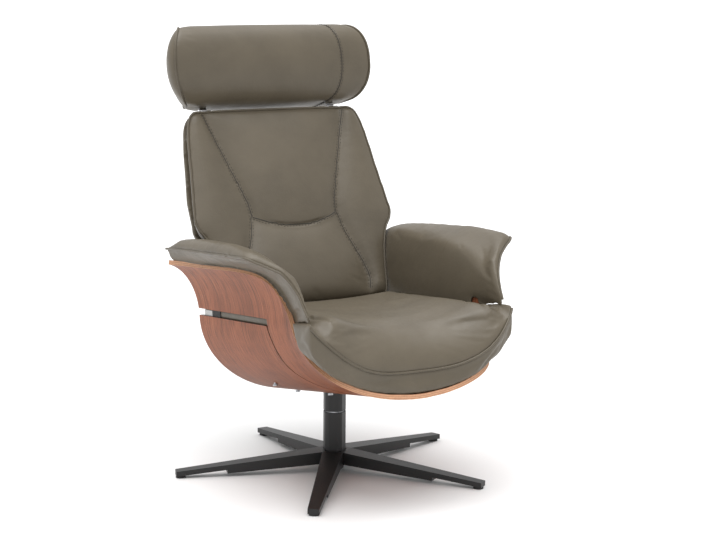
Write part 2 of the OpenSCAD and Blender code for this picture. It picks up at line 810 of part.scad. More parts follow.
runner_gap = fit_gap;
module runner()
    color(steel) in_shell()
        block([liner_x + liner_t + runner_gap, liner_x + liner_w - liner_t - runner_gap],
            [runner_rear, runner_front], [liner_base + liner_t + fit_gap, bar_base]);
module runner_left() runner();
module runner_right() mirror([1, 0, 0]) runner();

module seat_bar()
    color(steel) in_shell()
        block([rail_x + bar_inset, rail_x + rail_w - bar_inset], [bar_rear, bar_front],
            [bar_base, bar_base + bar_h]);
module seat_bar_left() seat_bar();
module seat_bar_right() mirror([1, 0, 0]) seat_bar();

module seat_cross(ahead)
    color(steel) in_shell()
        block([-rail_x - bar_inset, rail_x + bar_inset], [ahead, ahead + cross_d],
            [bar_base, bar_base + bar_h]);
module seat_cross_front() seat_cross(bar_front - 2 * cross_d);
module seat_cross_rear() seat_cross(bar_rear + cross_d / 2);

module seat_deck()
    color([0.8, 0.7, 0.52]) in_shell()
        block([-deck_half_w, deck_half_w], [deck_rear, bar_front], [deck_top - deck_t, deck_top]);

// Seat cushion: sections along the chair, each a ring of [ahead, up] points
seat_rear = -95;
nose_gap = 6;
nose_rear = bar_front + nose_gap;
roll_front = shell_front * 0.85;
lip_gap = 5;
bowl_gap = 3;
lip_drop = 4;
lip_top = foot_up - lip_drop;
lip_over = 3;
lip_under = 6;
pipe_dip = 126;
pipe_climb = 123;
pipe_bulge = 22;
seat_edge = 14;
seat_under = 30;
rear_round = 6;
border_in = 3;
border_low_in = 4;
border_least = 8;
seat_mid_shares = [
    [-0.215, 0.966], [-0.12, 0.994], [-0.086, 1.003], [0, 1], [0.34, 0.973], [0.56, 0.941],
    [0.74, 0.912], [0.85, 0.88]
];
seat_side_shares = [
    [-0.215, 0.962], [-0.12, 0.992], [-0.086, 1.008], [-0.02, 1.037], [0.31, 1.029], [0.63, 1.024],
    [0.85, 1.015]
];
seat_along_shares = [-0.18, -0.1, -0.02, 0.15, 0.35, 0.56, 0.72, 0.85];
lip_span = lip_half_w - seat_half_w;
function lip_share(x) = clamp01((abs(x) - seat_half_w) / lip_span);
function seat_pipe_up(x) = bowl_mid_h - pipe_dip + pipe_climb * pow(abs(x) / lip_half_w, 3.1);
function seat_pipe_ahead(x) = shell_front + pipe_bulge * sin(180 * pow(x / lip_half_w, 2));
function seat_up(x, share) =
    let (q = abs(x) / seat_half_w)
    seat_top * mix(lookup(share, seat_mid_shares), lookup(share, seat_side_shares), pow(q, 2.2))
        - seat_edge * pow(clamp01((q - 0.88) / 0.12), 2);

// Front roll from the top down to the piping, then the border below it
function nose(from, pipe, low) = concat(
    [for (i = [1:8]) let (a = 90 * i / 8)
        [mix(from[0], pipe[0], sin(a)), mix(pipe[1], from[1], cos(a))]],
    [[pipe[0] - border_in, mix(pipe[1], low, 0.25)]],
    [[mix(pipe[0], shell_front, 0.7) - border_in, mix(pipe[1], low, 0.7)]],
    [[shell_front - border_low_in, low]]
);
function body_ring(x) =
    let (
        under = function (ahead) floor_in(x, ahead) + bowl_gap,
        low = under(shell_front),
        outer = clamp01((abs(x) / seat_half_w - 0.9) / 0.1),
        base = max(deck_top, under(seat_rear)) + seat_under * outer * outer,
        pipe = [seat_pipe_ahead(x), max(seat_pipe_up(x), low + border_least)],
        start = seat_up(x, -0.215)
    )
    concat(
        [[seat_rear + rear_round, base], [seat_rear, mix(base, start, 0.4)]],
        [[seat_rear + rear_round / 2, mix(base, start, 0.86)]],
        [for (t = seat_along_shares) [t * shell_front, seat_up(x, t)]],
        nose([roll_front, seat_up(x, 0.85)], pipe, low),
        [for (a = [mix(shell_front, nose_rear, 0.5), nose_rear]) [a, under(a)]],
        [[nose_rear, base], [mix(nose_rear, seat_rear, 0.4), base]]
    );
function lip_ring(x) =
    let (
        t = lip_share(x),
        pipe = [seat_pipe_ahead(x), seat_pipe_up(x)],
        low = min(floor_in(x, shell_front) + bowl_gap, pipe[1] - lip_under),
        top = mix(lip_top, pipe[1] + lip_over, t),
        behind = function (up) rim_ahead(up) + lip_gap,
        start = behind(top)
    )
    concat(
        [for (q = [0.4, 0.6, 0.8]) [behind(mix(low, top, q)), mix(low, top, q)]],
        [for (q = [0:7]) [mix(start, roll_front + lip_gap, q / 7), top]],
        nose([roll_front + lip_gap, top], pipe, low),
        [for (q = [0.35, 0.7]) [mix(shell_front - border_low_in, behind(low), q), low]],
        [for (q = [0.1, 0.25]) [behind(mix(low, top, q)), mix(low, top, q)]]
    );
seat_across_shares = [0.22, 0.42, 0.6, 0.75, 0.88, 0.95, 1];
seat_stations = concat(
    [for (t = seat_across_shares) seat_half_w * t],
    [for (t = [0.01, 0.12, 0.4, 0.75, 1]) seat_half_w + lip_span * t]
);
function seat_ring(x) = abs(x) <= seat_half_w ? body_ring(x) : lip_ring(x);
module seat_cushion()
    color(hide) in_shell()
        skin([for (x = concat(reversed(seat_stations), [0], [for (x = seat_stations) -x]))
            [for (p = seat_ring(x)) [x, -p[0], p[1]]]]);

// Recline pivot

module back_bracket()
    color(steel) in_shell() difference() {
        union() {
            cross_bar([bracket_x, bracket_x + bracket_t], -pivot_back, pivot_h, boss_r);
            side_plate([bracket_x, bracket_x + bracket_t], [
                [bar_rear, bar_base], [bar_rear + 4 * boss_r, bar_base],
                [bar_rear + 4 * boss_r, bar_base + bar_h], [boss_r - pivot_back, bar_base + 3 * bar_h],
                [boss_r - pivot_back, pivot_h], [-boss_r - pivot_back, pivot_h]
            ]);
        }
        cross_bar([bracket_x - bracket_t, bracket_x + 2 * bracket_t], -pivot_back, pivot_h,
            pin_r + run_gap);
    }
module back_bracket_left() back_bracket();
module back_bracket_right() mirror([1, 0, 0]) back_bracket();

module pivot_pins()
    color(steel) in_back() both_sides() {
        cross_bar([bracket_x - fit_gap, upright_x + upright_w + fit_gap], 0, 0, pin_r);
        cross_bar([bracket_x - bracket_t / 2 - fit_gap, bracket_x - fit_gap], 0, 0, pin_r + bracket_t / 2);
    }

module friction_discs()
    color([0.2, 0.2, 0.2]) in_back() both_sides() difference() {
        translate([fit_gap / 2, 0, 0])
            cross_bar([bracket_x + bracket_t, bracket_x + bracket_t + disc_t], 0, 0, disc_r);
        cross_bar([bracket_x, upright_x], 0, 0, pin_r + run_gap);
    }

// Backrest frame, in the back frame: across, forward of the pivot, and up from it
function frame_f(u) = frame_lean * u;

module back_upright()
    color(steel) in_back() difference() {
        union() {
            cross_bar([upright_x, upright_x + upright_w], 0, 0, boss_r);
            side_plate([upright_x, upright_x + upright_w], [
                [-panel_gap, 0], [panel_gap, 0],
                [frame_f(frame_top) + panel_gap, frame_top], [frame_f(frame_top) - panel_gap, frame_top]
            ]);
            link([upright_x + upright_w - guide_t, upright_x + upright_w], [0, 0],
                [guide_back, guide_down], guide_boss_r);
        }
        cross_bar([upright_x - cut_over, upright_x + upright_w + cut_over], 0, 0, pin_r + run_gap);
        cross_bar([upright_x - cut_over, upright_x + upright_w + cut_over], guide_back, guide_down,
            guide_pin_r + run_gap);
    }
module back_upright_left() back_upright();
module back_upright_right() mirror([1, 0, 0]) back_upright();

module guide_pins()
    color(steel) in_back() both_sides()
        cross_bar([upright_x + upright_w - guide_t, guide_x + guide_t + fit_gap],
            guide_back, guide_down, guide_pin_r);

module back_cross(u)
    color(steel) in_back()
        side_plate([-upright_x, upright_x], [
            [frame_f(u) - bar_h / 2, u], [frame_f(u) + panel_gap, u],
            [frame_f(u + cross_d) + panel_gap, u + cross_d], [frame_f(u + cross_d) - bar_h / 2, u + cross_d]
        ]);
module back_cross_lower() back_cross(3 * cross_d);
module back_cross_upper() back_cross(frame_top - 2 * cross_d);

panel_low = 40;
panel_half_w = upright_x + upright_w;
module back_panel()
    color([0.8, 0.7, 0.52]) in_back()
        side_plate([-panel_half_w, panel_half_w], [
            [frame_f(panel_low) + panel_gap, panel_low],
            [frame_f(panel_low) + panel_gap + panel_t, panel_low],
            [frame_f(frame_top) + panel_gap + panel_t, frame_top],
            [frame_f(frame_top) + panel_gap, frame_top]
        ]);

// Outline of the backrest: half width at the front face, as shares of the greatest
back_side_shares = [
    [-0.04, 0.765], [0, 0.785], [0.049, 0.798], [0.13, 0.82], [0.21, 0.846], [0.29, 0.89], [0.33, 0.919],
    [0.358, 0.965], [0.4, 1], [0.44, 0.997], [0.52, 0.978], [0.667, 0.945], [0.81, 0.919], [0.9, 0.895],
    [0.95, 0.87], [0.98, 0.835], [1, 0.77]
];
function back_side(u) = back_half_w * lookup(u / back_len, back_side_shares);

// Seams of the backrest: half width of the middle panel, as shares of the greatest
back_seam_shares = [
    [0, 0.6], [0.09, 0.62], [0.2, 0.56], [0.3, 0.49], [0.42, 0.435], [0.5, 0.45], [0.65, 0.53],
    [0.8, 0.61], [1, 0.715]
];
function back_seam(u) = back_half_w * lookup(u / back_len, back_seam_shares);

yoke_share = 0.425;
yoke_u = yoke_share * back_len;
yoke_sag = 30;
seam_deep = 6;
panel_bulge = 16;
wing_bulge = 10;
top_round = 12;
side_puff = 4;

// Rise of the front face over its flat plane
function back_rise(x, u) =
    let (
        seam = back_seam(u),
        side = back_side(u),
        middle = abs(x) < seam,
        q = middle ? abs(x) / seam : (abs(x) - seam) / (side - seam),
        yoke = yoke_u - yoke_sag * (1 - pow(min(1, abs(x) / seam), 2)),
        upper = clamp01((u - yoke) / (back_len - yoke)),
        lower = clamp01(u / yoke),
        arch = u > yoke ? pow(upper, 0.55) : clamp01(lower * 0.94 + 0.06),
        tall = panel_bulge * sqrt(sin(180 * arch))
    )
    middle
        ? tall * sqrt(max(0, 1 - q * q)) - seam_deep * pow(q, 6)
        : wing_bulge * sin(180 * clamp01(q)) - seam_deep * pow(1 - q, 6);

function back_columns(u) = concat(
    [for (t = [1, 0.9, 0.65, 0.3]) -mix(back_seam(u), back_side(u), t)],
    [for (t = [-1, -0.85, -0.45, 0, 0.45, 0.85, 1]) back_seam(u) * t],
    [for (t = [0.3, 0.65, 0.9, 1]) mix(back_seam(u), back_side(u), t)]
);
back_row_shares = [
    -0.03, -0.015, 0.02, 0.07, 0.14, 0.21, 0.28, 0.33, 0.37, 0.41, 0.435, 0.46, 0.5, 0.57, 0.65,
    0.73, 0.81, 0.88, 0.93, 0.965, 0.988, 1
];
function row_bend(x, share) =
    let (near = clamp01(1 - abs(share - yoke_share) / 0.2))
    -yoke_sag * near * (1 - pow(min(1, abs(x) / (back_half_w * 0.44)), 2));
function edge_draw(share) = share > 0.96 ? (share - 0.96) / 0.04 : share < 0 ? -share / 0.03 : 0;
function back_ring(share) =
    let (
        u = share * back_len,
        rear = frame_f(max(0, u)) + cushion_gap,
        draw = edge_draw(share),
        front = back_front - top_round * draw * draw,
        side = back_side(u),
        edge = function (t) side - side_lean * (front - rear) * t + side_puff * sin(180 * t)
    )
    concat(
        [for (x = back_columns(u)) let (v = u + row_bend(x, share))
            [x, -(front + back_rise(x, v) * (1 - draw)), v]],
        [for (t = [0.5, 1]) [edge(t), -mix(front, rear, t), u]],
        [for (t = [0.4, -0.4]) [side * t, -rear, u]],
        [for (t = [1, 0.5]) [-edge(t), -mix(front, rear, t), u]]
    );
module back_cushion()
    color(hide) in_back() skin([for (s = reversed(back_row_shares)) back_ring(s)]);

// Span of a headrest bar and of what surrounds it, across or ahead
function bar_place(middle, size, round) = [middle - size / 2 - round, middle + size / 2 + round];

// Rear cover: a crowned tray behind the frame
cover_row_shares = [0.045, 0.07, 0.14, 0.25, 0.4, 0.55, 0.7, 0.82, 0.92, 0.965, 0.988];
function cover_ring(share) =
    let (
        u = share * back_len,
        rear = frame_f(u) - panel_gap - fit_gap - cover_t,
        front = frame_f(u) + cushion_gap - soft_gap,
        half = back_side(u) - side_lean * (back_front - front) - soft_gap,
        tuck = half - side_lean * (front - rear) - cover_tuck,
        draw = edge_draw(share)
    )
    concat(
        [[-half, -front, u], [half, -front, u], [mix(half, tuck, 0.6), -mix(front, rear, 0.6), u]],
        [for (t = [1, 0.7, 0, -0.7, -1])
            [tuck * t * 0.96, -(rear + cover_crown * t * t + cover_tuck * draw), u]],
        [[-mix(half, tuck, 0.6), -mix(front, rear, 0.6), u]]
    );
module rear_cover()
    color(hide) in_back() difference() {
        skin([for (s = reversed(cover_row_shares)) cover_ring(s)]);
        side_plate([-panel_half_w - fit_gap, panel_half_w + fit_gap], [
            [frame_f(0) - panel_gap - fit_gap, 0],
            [frame_f(frame_top) - panel_gap - fit_gap, frame_top + fit_gap],
            [frame_f(frame_top) + 3 * panel_gap, frame_top + fit_gap], [frame_f(0) + 3 * panel_gap, 0]
        ]);
        both_sides() block(bar_place(bar_x, bar_w, sleeve_wall + fit_gap),
            [bar_place(bar_f, bar_t, sleeve_wall + fit_gap)[0], back_front],
            [hinge_u - bar_l - bar_w, back_len + cut_over]);
    }

// Headrest carriage

module bar_sleeves()
    color(black) in_back() both_sides() difference() {
        block(bar_place(bar_x, bar_w, sleeve_wall), bar_place(bar_f, bar_t, sleeve_wall),
            [sleeve_low, back_len - sleeve_wall]);
        block(bar_place(bar_x, bar_w, fit_gap), bar_place(bar_f, bar_t, fit_gap),
            [0, back_len + cut_over]);
    }

crank_u = hinge_u - knuckle_r - fit_gap;
module headrest_bar()
    color([0.85, 0.85, 0.87]) in_back() difference() {
        union() {
            block(bar_place(bar_x, bar_w, 0), bar_place(bar_f, bar_t, 0), [hinge_u - bar_l, crank_u]);
            block(bar_place(bar_x, bar_w, 0), [bar_f - bar_t / 2, hinge_f + bar_t / 2],
                [crank_u - bar_t / 2, hinge_u - knuckle_r / 2]);
            cross_bar([bar_x - bar_w / 4, bar_x + bar_w / 4], hinge_f, hinge_u, knuckle_r);
        }
        for (x = [bar_x - bar_w / 2 - bar_t, bar_x + bar_w / 4])
            cross_bar([x, x + bar_w / 4 + bar_t], hinge_f, hinge_u, knuckle_r + 2 * fit_gap);
        cross_bar([bar_x - bar_w, bar_x + bar_w], hinge_f, hinge_u, hinge_pin_r + run_gap);
    }
module headrest_bar_left() headrest_bar();
module headrest_bar_right() mirror([1, 0, 0]) headrest_bar();

module hinge_pins()
    color([0.85, 0.85, 0.87]) in_back() both_sides()
        cross_bar([bar_x - bar_w / 2, bar_x + bar_w / 2], hinge_f, hinge_u, hinge_pin_r);

leaf_l = 34;
module headrest_brackets()
    color([0.85, 0.85, 0.87]) in_head() both_sides() difference() {
        union() {
            for (x = [bar_x - bar_w / 2, bar_x + bar_w / 4 + fit_gap])
                cross_bar([x, x + bar_w / 4 - fit_gap], 0, 0, knuckle_r);
            for (x = [bar_x - bar_w / 2, bar_x + bar_w / 4 + fit_gap])
                block([x, x + bar_w / 4 - fit_gap], [-knuckle_r, 0], [0, head_lift - leaf_t]);
            block(bar_place(bar_x, bar_w, 0), [-leaf_l, 0], [head_lift - leaf_t, head_lift - run_gap]);
        }
        cross_bar([bar_x - bar_w, bar_x + bar_w], 0, 0, hinge_pin_r + run_gap);
    }

// Headrest: sections across the chair, each a rounded block that is fuller at the front
head_points = 30;
head_square = 2.7;
head_across_shares = [0.24, 0.48, 0.66, 0.7, 0.88, 0.97, 1];
head_seam_shares = [0.66, 0.7];
head_end_shares = [[0.25, 0.93], [0.55, 0.8], [0.82, 0.58], [0.96, 0.32], [1, 0.08]];
function squarish(a) = sign(a) * pow(abs(a), 2 / head_square);

// The ends bulge in the middle and draw in towards the rear, the top and the bottom
function head_narrow(f, h) =
    1 - head_taper_share * (1 - f) / 2 - (h > 0 ? head_top_share : head_low_share) * h * h;
function head_ring(x, size) =
    [for (i = [0:head_points - 1])
        let (
            a = 360 * i / head_points,
            f = squarish(sin(a)) * size,
            h = squarish(cos(a)) * size
        )
        [x * head_narrow(f, h), head_back - f * head_d / 2, head_lift + (1 + h) * head_h / 2]];
function head_size(share) =
    len(search(share, head_seam_shares)) > 0 ? 0.997 : mix(1, 0.96, clamp01((share - 0.9) / 0.1));
head_stations = concat(
    [for (t = head_across_shares) [head_half_w * t, head_size(t)]],
    [for (e = head_end_shares) [head_half_w + head_end_bulge * e[0], 0.96 * e[1]]]
);
module headrest_cushion()
    color(hide) in_head()
        skin([for (s = concat(reversed(head_stations), [[0, 1]], [for (q = head_stations) [-q[0], q[1]]]))
            head_ring(s[0], s[1])]);

for (i = [1:5]) leg(i);
column_lower();
hub_plug();
foot_glides();
bush_lower();
bush_upper();
thrust_washer();
spindle();
retaining_ring();
column_upper();
mounting_channel();
cross_member_front();
cross_member_rear();
rail_left();
rail_right();
rail_liners();
rail_buffers();
guide_plate_left();
guide_plate_right();
shell_brackets();
shell_screws();
shell_spacers();
shell_lower();
shell_upper();
slot_strip_left();
slot_strip_right();
slot_blocks();
slot_plates();
arm_pad_left();
arm_pad_right();
runner_left();
runner_right();
seat_bar_left();
seat_bar_right();
seat_cross_front();
seat_cross_rear();
seat_deck();
seat_cushion();
back_bracket_left();
back_bracket_right();
pivot_pins();
friction_discs();
back_upright_left();
back_upright_right();
back_cross_lower();
back_cross_upper();
guide_pins();
back_panel();
bar_sleeves();
rear_cover();
back_cushion();
headrest_bar_left();
headrest_bar_right();
hinge_pins();
headrest_brackets();
headrest_cushion();
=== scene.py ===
"""Dresses the swivel recliner: smooth bent wood shell, leather cushions, piping, seams and stitching.

Places are worked out in millimetres in the shell's, the back's and the headrest's own frames, as
across, ahead (or forward) and up. in_shell, in_back and in_head turn them into metres in the row frame.
"""
import json
import math

import bmesh
import bpy
from mathutils import Matrix, Vector
from mathutils.bvhtree import BVHTree
from mathutils.kdtree import KDTree


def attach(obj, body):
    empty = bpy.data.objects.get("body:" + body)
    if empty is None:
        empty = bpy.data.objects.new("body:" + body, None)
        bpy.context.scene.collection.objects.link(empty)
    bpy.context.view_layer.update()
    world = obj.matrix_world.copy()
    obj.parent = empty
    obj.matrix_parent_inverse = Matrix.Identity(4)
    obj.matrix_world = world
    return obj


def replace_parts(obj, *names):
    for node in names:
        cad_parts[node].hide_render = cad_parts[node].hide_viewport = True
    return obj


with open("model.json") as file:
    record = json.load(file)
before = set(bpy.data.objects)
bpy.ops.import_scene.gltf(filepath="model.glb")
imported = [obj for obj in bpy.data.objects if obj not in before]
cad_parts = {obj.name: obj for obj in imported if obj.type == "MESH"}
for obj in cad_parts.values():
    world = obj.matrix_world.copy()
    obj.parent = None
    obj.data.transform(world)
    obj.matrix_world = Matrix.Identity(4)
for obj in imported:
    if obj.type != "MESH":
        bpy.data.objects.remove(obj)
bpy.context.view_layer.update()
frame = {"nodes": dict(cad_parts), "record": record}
nodes = frame["nodes"]
MM = 0.001
SIDES = ((1, "left"), (-1, "right"))

# Frames, with the sizes that the part's source gives them
joint_at = {j["name"]: j.get("pos_m") for j in frame["record"]["behaviour"]["joints"]}
AXIS_Y = joint_at["swivel"][1] / MM
SHELL_TILT = math.radians(8.5)
BACK_LEAN = math.radians(18.1)
PIVOT_BACK, PIVOT_UP = 148, 396
BACK_LEN = 494
BACK_FRONT = 95
HINGE_RISE = 11
HINGE_F, HINGE_U = 62, BACK_LEN + HINGE_RISE


def in_shell(x, ahead, up):
    """A place in the shell's frame, in millimetres, as metres in the row frame."""
    c, s = math.cos(SHELL_TILT), math.sin(SHELL_TILT)
    return Vector((x, -(ahead * c - up * s) + AXIS_Y, ahead * s + up * c)) * MM


def from_shell(point):
    """The reverse of in_shell."""
    c, s = math.cos(SHELL_TILT), math.sin(SHELL_TILT)
    x, y, z = point / MM
    y -= AXIS_Y
    return x, z * s - y * c, z * c + y * s


def back_to_shell(f, u):
    """A place in the back's frame, forward of its pivot and up along it, as ahead and up in the shell's."""
    c, s = math.cos(BACK_LEAN), math.sin(BACK_LEAN)
    return -PIVOT_BACK + f * c - u * s, PIVOT_UP + f * s + u * c


def in_back(x, f, u):
    """A place in the back's frame, as metres in the row frame."""
    return in_shell(x, *back_to_shell(f, u))


def from_back(point):
    """The reverse of in_back."""
    x, ahead, up = from_shell(point)
    c, s = math.cos(BACK_LEAN), math.sin(BACK_LEAN)
    ahead, up = ahead + PIVOT_BACK, up - PIVOT_UP
    return x, ahead * c + up * s, up * c - ahead * s


def in_head(x, f, h):
    """A place forward of and above the headrest's hinge, as metres in the row frame."""
    ahead, up = back_to_shell(HINGE_F, HINGE_U)
    return in_shell(x, ahead + f, up + h)


# Curves and tables
def mix(a, b, t):
    return a + (b - a) * t


def clamp01(t):
    return min(1.0, max(0.0, t))


def spread(first, last, count):
    """Values from first to last in count even steps."""
    return [mix(first, last, i / count) for i in range(count + 1)]


def lookup(at, table):
    """The value at a place in a table of (place, value), level past its ends."""
    if at <= table[0][0]:
        return table[0][1]
    for (a, va), (b, vb) in zip(table, table[1:]):
        if at <= b:
            return mix(va, vb, (at - a) / (b - a)) if b > a else vb
    return table[-1][1]


def smooth_line(points, steps):
    """A smooth line through points, with a number of steps from each point to the next."""
    out = []
    last = len(points) - 1
    for i in range(last):
        a, b, c, d = (points[max(0, i - 1)], points[i], points[i + 1], points[min(last, i + 2)])
        for k in range(steps):
            t = k / steps
            out.append(tuple(
                q + t * (r - p) / 2 + t * t * (p - 2.5 * q + 2 * r - s / 2)
                + t ** 3 * (-p + 3 * q - 3 * r + s) / 2 for p, q, r, s in zip(a, b, c, d)))
    out.append(tuple(points[-1]))
    return out


def even(points, spacing):
    """Points along a line at an even spacing."""
    points = [Vector(p) for p in points]
    total = sum((b - a).length for a, b in zip(points, points[1:]))
    count = max(2, round(total / spacing))
    out, step, left = [points[0]], total / count, total / count
    for a, b in zip(points, points[1:]):
        piece, at = (b - a).length, 0.0
        while piece - at >= left - 1e-9 and len(out) < count:
            at += left
            out.append(a.lerp(b, at / piece))
            left = step
        left -= piece - at
    out.append(points[-1])
    return out


def at_share(points, t):
    """The point at a share of a line's length."""
    lengths = [0.0]
    for a, b in zip(points, points[1:]):
        lengths.append(lengths[-1] + math.dist(a, b))
    want = t * lengths[-1]
    for i in range(len(points) - 1):
        if want <= lengths[i + 1] + 1e-9:
            step = lengths[i + 1] - lengths[i]
            k = (want - lengths[i]) / step if step > 1e-9 else 0.0
            return tuple(mix(a, b, k) for a, b in zip(points[i], points[i + 1]))
    return points[-1]


# Material parts, with the sockets of the mix node and of the multiply and add node
MIX_FIRST, MIX_SECOND, MIX_RESULT = 6, 7, 2
ADD_FROM, ADD_TIMES, ADD_TO = 0, 1, 2
PLAIN = (1, 1, 1)


def new_material(name):
    material = bpy.data.materials.new(name)
    material.use_nodes = True
    tree = material.node_tree
    return material, tree, tree.nodes["Principled BSDF"]


def link(tree, source, socket_out, target, socket_in):
    tree.links.new(source.outputs[socket_out], target.inputs[socket_in])


def stretched(tree, source, socket, scale):
    """A vector from a node, times a scale along each axis."""
    mapping = tree.nodes.new("ShaderNodeMapping")
    mapping.inputs["Scale"].default_value = scale
    link(tree, source, socket, mapping, "Vector")
    return mapping


def scaled(tree, kind, scale):
    """Texture coordinates of a kind, times a scale along each axis."""
    return stretched(tree, tree.nodes.new("ShaderNodeTexCoord"), kind, scale)


def noise_of(tree, vector, scale, detail, rough, distort=0.0):
    node = tree.nodes.new("ShaderNodeTexNoise")
    node.inputs["Scale"].default_value = scale
    node.inputs["Detail"].default_value = detail
    node.inputs["Roughness"].default_value = rough
    node.inputs["Distortion"].default_value = distort
    link(tree, vector, "Vector", node, "Vector")
    return node


def ramp_of(tree, source, socket, stops):
    """A color ramp with a stop at each (place, color)."""
    node = tree.nodes.new("ShaderNodeValToRGB")
    link(tree, source, socket, node, "Fac")
    elements = node.color_ramp.elements
    for index, (place, color) in enumerate((stops[0], stops[-1])):
        elements[index].position = place
        elements[index].color = (*color, 1)
    for place, color in stops[1:-1]:
        elements.new(place).color = (*color, 1)
    return node


def multiplied(tree, first, second):
    """The product of two color sockets."""
    node = tree.nodes.new("ShaderNodeMix")
    node.data_type = "RGBA"
    node.blend_type = "MULTIPLY"
    node.inputs["Factor"].default_value = 1.0
    tree.links.new(first, node.inputs[MIX_FIRST])
    tree.links.new(second, node.inputs[MIX_SECOND])
    return node.outputs[MIX_RESULT]


def bump_of(tree, shader, heights):
    """Bumps one over the other, each from (node, socket, strength, distance in metres)."""
    last = None
    for source, socket, strength, distance in heights:
        bump = tree.nodes.new("ShaderNodeBump")
        bump.inputs["Strength"].default_value = strength
        bump.inputs["Distance"].default_value = distance
        link(tree, source, socket, bump, "Height")
        if last:
            link(tree, last, "Normal", bump, "Normal")
        last = bump
    link(tree, last, "Normal", shader, "Normal")


def gray(v):
    return (v, v, v)


def tinted(color, share):
    return tuple(c * share for c in color)


# Materials
def leather(name, color, rough, creases):
    """Smooth semi-gloss leather: soft tone changes, fine grain and faint creases."""
    material, tree, shader = new_material(name)
    place = scaled(tree, "Object", PLAIN)
    tone = noise_of(tree, place, 9, detail=5, rough=0.6)
    tones = [(0.3, tinted(color, 0.88)), (0.5, color), (0.72, tinted(color, 1.1))]
    link(tree, ramp_of(tree, tone, "Fac", tones), "Color", shader, "Base Color")
    worn = noise_of(tree, place, 30, detail=6, rough=0.65)
    gloss = ramp_of(tree, worn, "Fac", [(0.3, gray(rough - 0.05)), (0.7, gray(rough + 0.07))])
    link(tree, gloss, "Color", shader, "Roughness")
    shader.inputs["Specular IOR Level"].default_value = 0.36
    grain = tree.nodes.new("ShaderNodeTexVoronoi")
    grain.feature = "SMOOTH_F1"
    grain.inputs["Scale"].default_value = 620
    link(tree, place, "Vector", grain, "Vector")
    crease = noise_of(tree, place, 26, detail=5, rough=0.6, distort=0.8)
    bump_of(tree, shader, [(crease, "Fac", creases, 0.004), (grain, "Distance", 0.22, 0.0004)])
    return material


def wood(name, dark, middle, light):
    """Walnut veneer: its grain runs round the bowl, along the second UV axis, in metres."""
    material, tree, shader = new_material(name)
    place = scaled(tree, "UV", PLAIN)
    drift = noise_of(tree, scaled(tree, "UV", (5, 2.2, 1)), 1, detail=2, rough=0.5)
    bend = tree.nodes.new("ShaderNodeVectorMath")
    bend.operation = "MULTIPLY_ADD"
    bend.inputs[ADD_TIMES].default_value = (0.05, 0, 0)
    link(tree, drift, "Color", bend, ADD_FROM)
    link(tree, place, "Vector", bend, ADD_TO)

    def along_grain(scale, detail, rough, distort=0.0):
        return noise_of(tree, stretched(tree, bend, "Vector", scale), 1, detail, rough, distort)

    figure = along_grain((170, 3.2, 1), detail=8, rough=0.68, distort=0.3)
    pores = along_grain((820, 22, 1), detail=3, rough=0.6)
    patch = along_grain((9, 3, 1), detail=2, rough=0.5)
    color = ramp_of(tree, figure, "Fac", [(0.34, dark), (0.47, middle), (0.54, middle), (0.68, light)])
    fleck = ramp_of(tree, pores, "Fac", [(0.38, gray(0.5)), (0.52, gray(1.0))])
    shade = ramp_of(tree, patch, "Fac", [(0.3, gray(0.84)), (0.7, gray(1.08))])
    flecked = multiplied(tree, color.outputs["Color"], fleck.outputs["Color"])
    shaded = multiplied(tree, flecked, shade.outputs["Color"])
    tree.links.new(shaded, shader.inputs["Base Color"])
    gloss = ramp_of(tree, figure, "Fac", [(0.3, gray(0.42)), (0.7, gray(0.52))])
    link(tree, gloss, "Color", shader, "Roughness")
    shader.inputs["Specular IOR Level"].default_value = 0.18
    bump_of(tree, shader, [(pores, "Fac", 0.12, 0.0004)])
    return material


def ply_edge(name, dark, light):
    """The edge of the bent sheet: thin plies across its thickness, along the second UV axis."""
    material, tree, shader = new_material(name)
    split = tree.nodes.new("ShaderNodeSeparateXYZ")
    link(tree, scaled(tree, "UV", PLAIN), "Vector", split, "Vector")
    plies = [(0.0, light), (0.13, light), (0.16, dark), (0.3, dark), (0.33, light), (0.48, light),
             (0.51, dark), (0.65, dark), (0.68, light), (0.84, light), (0.87, dark), (1.0, dark)]
    bands = ramp_of(tree, split, "Y", plies)
    streak = noise_of(tree, scaled(tree, "UV", (140, 2, 1)), 1, detail=5, rough=0.6)
    tint = ramp_of(tree, streak, "Fac", [(0.3, gray(0.8)), (0.7, gray(1.12))])
    streaked = multiplied(tree, bands.outputs["Color"], tint.outputs["Color"])
    tree.links.new(streaked, shader.inputs["Base Color"])
    shader.inputs["Roughness"].default_value = 0.45
    bump_of(tree, shader, [(streak, "Fac", 0.1, 0.0005)])
    return material


def hard_finish(name, color, rough, metallic=0.0, varied=0.05, brushed=PLAIN, grain=0.04, scale=140):
    """Metal, paint, plastic, rubber or thread: an uneven finish over a fine surface."""
    material, tree, shader = new_material(name)
    place = scaled(tree, "Object", brushed)
    uneven = noise_of(tree, place, scale, detail=5, rough=0.6)
    tone = ramp_of(tree, uneven, "Fac", [(0.3, tinted(color, 0.86)), (0.7, color)])
    link(tree, tone, "Color", shader, "Base Color")
    gloss = ramp_of(tree, uneven, "Fac", [(0.3, gray(rough - varied)), (0.7, gray(rough + varied))])
    link(tree, gloss, "Color", shader, "Roughness")
    shader.inputs["Metallic"].default_value = metallic
    fine = noise_of(tree, place, scale * 6, detail=3, rough=0.5)
    bump_of(tree, shader, [(fine, "Fac", grain, 0.0003)])
    return material


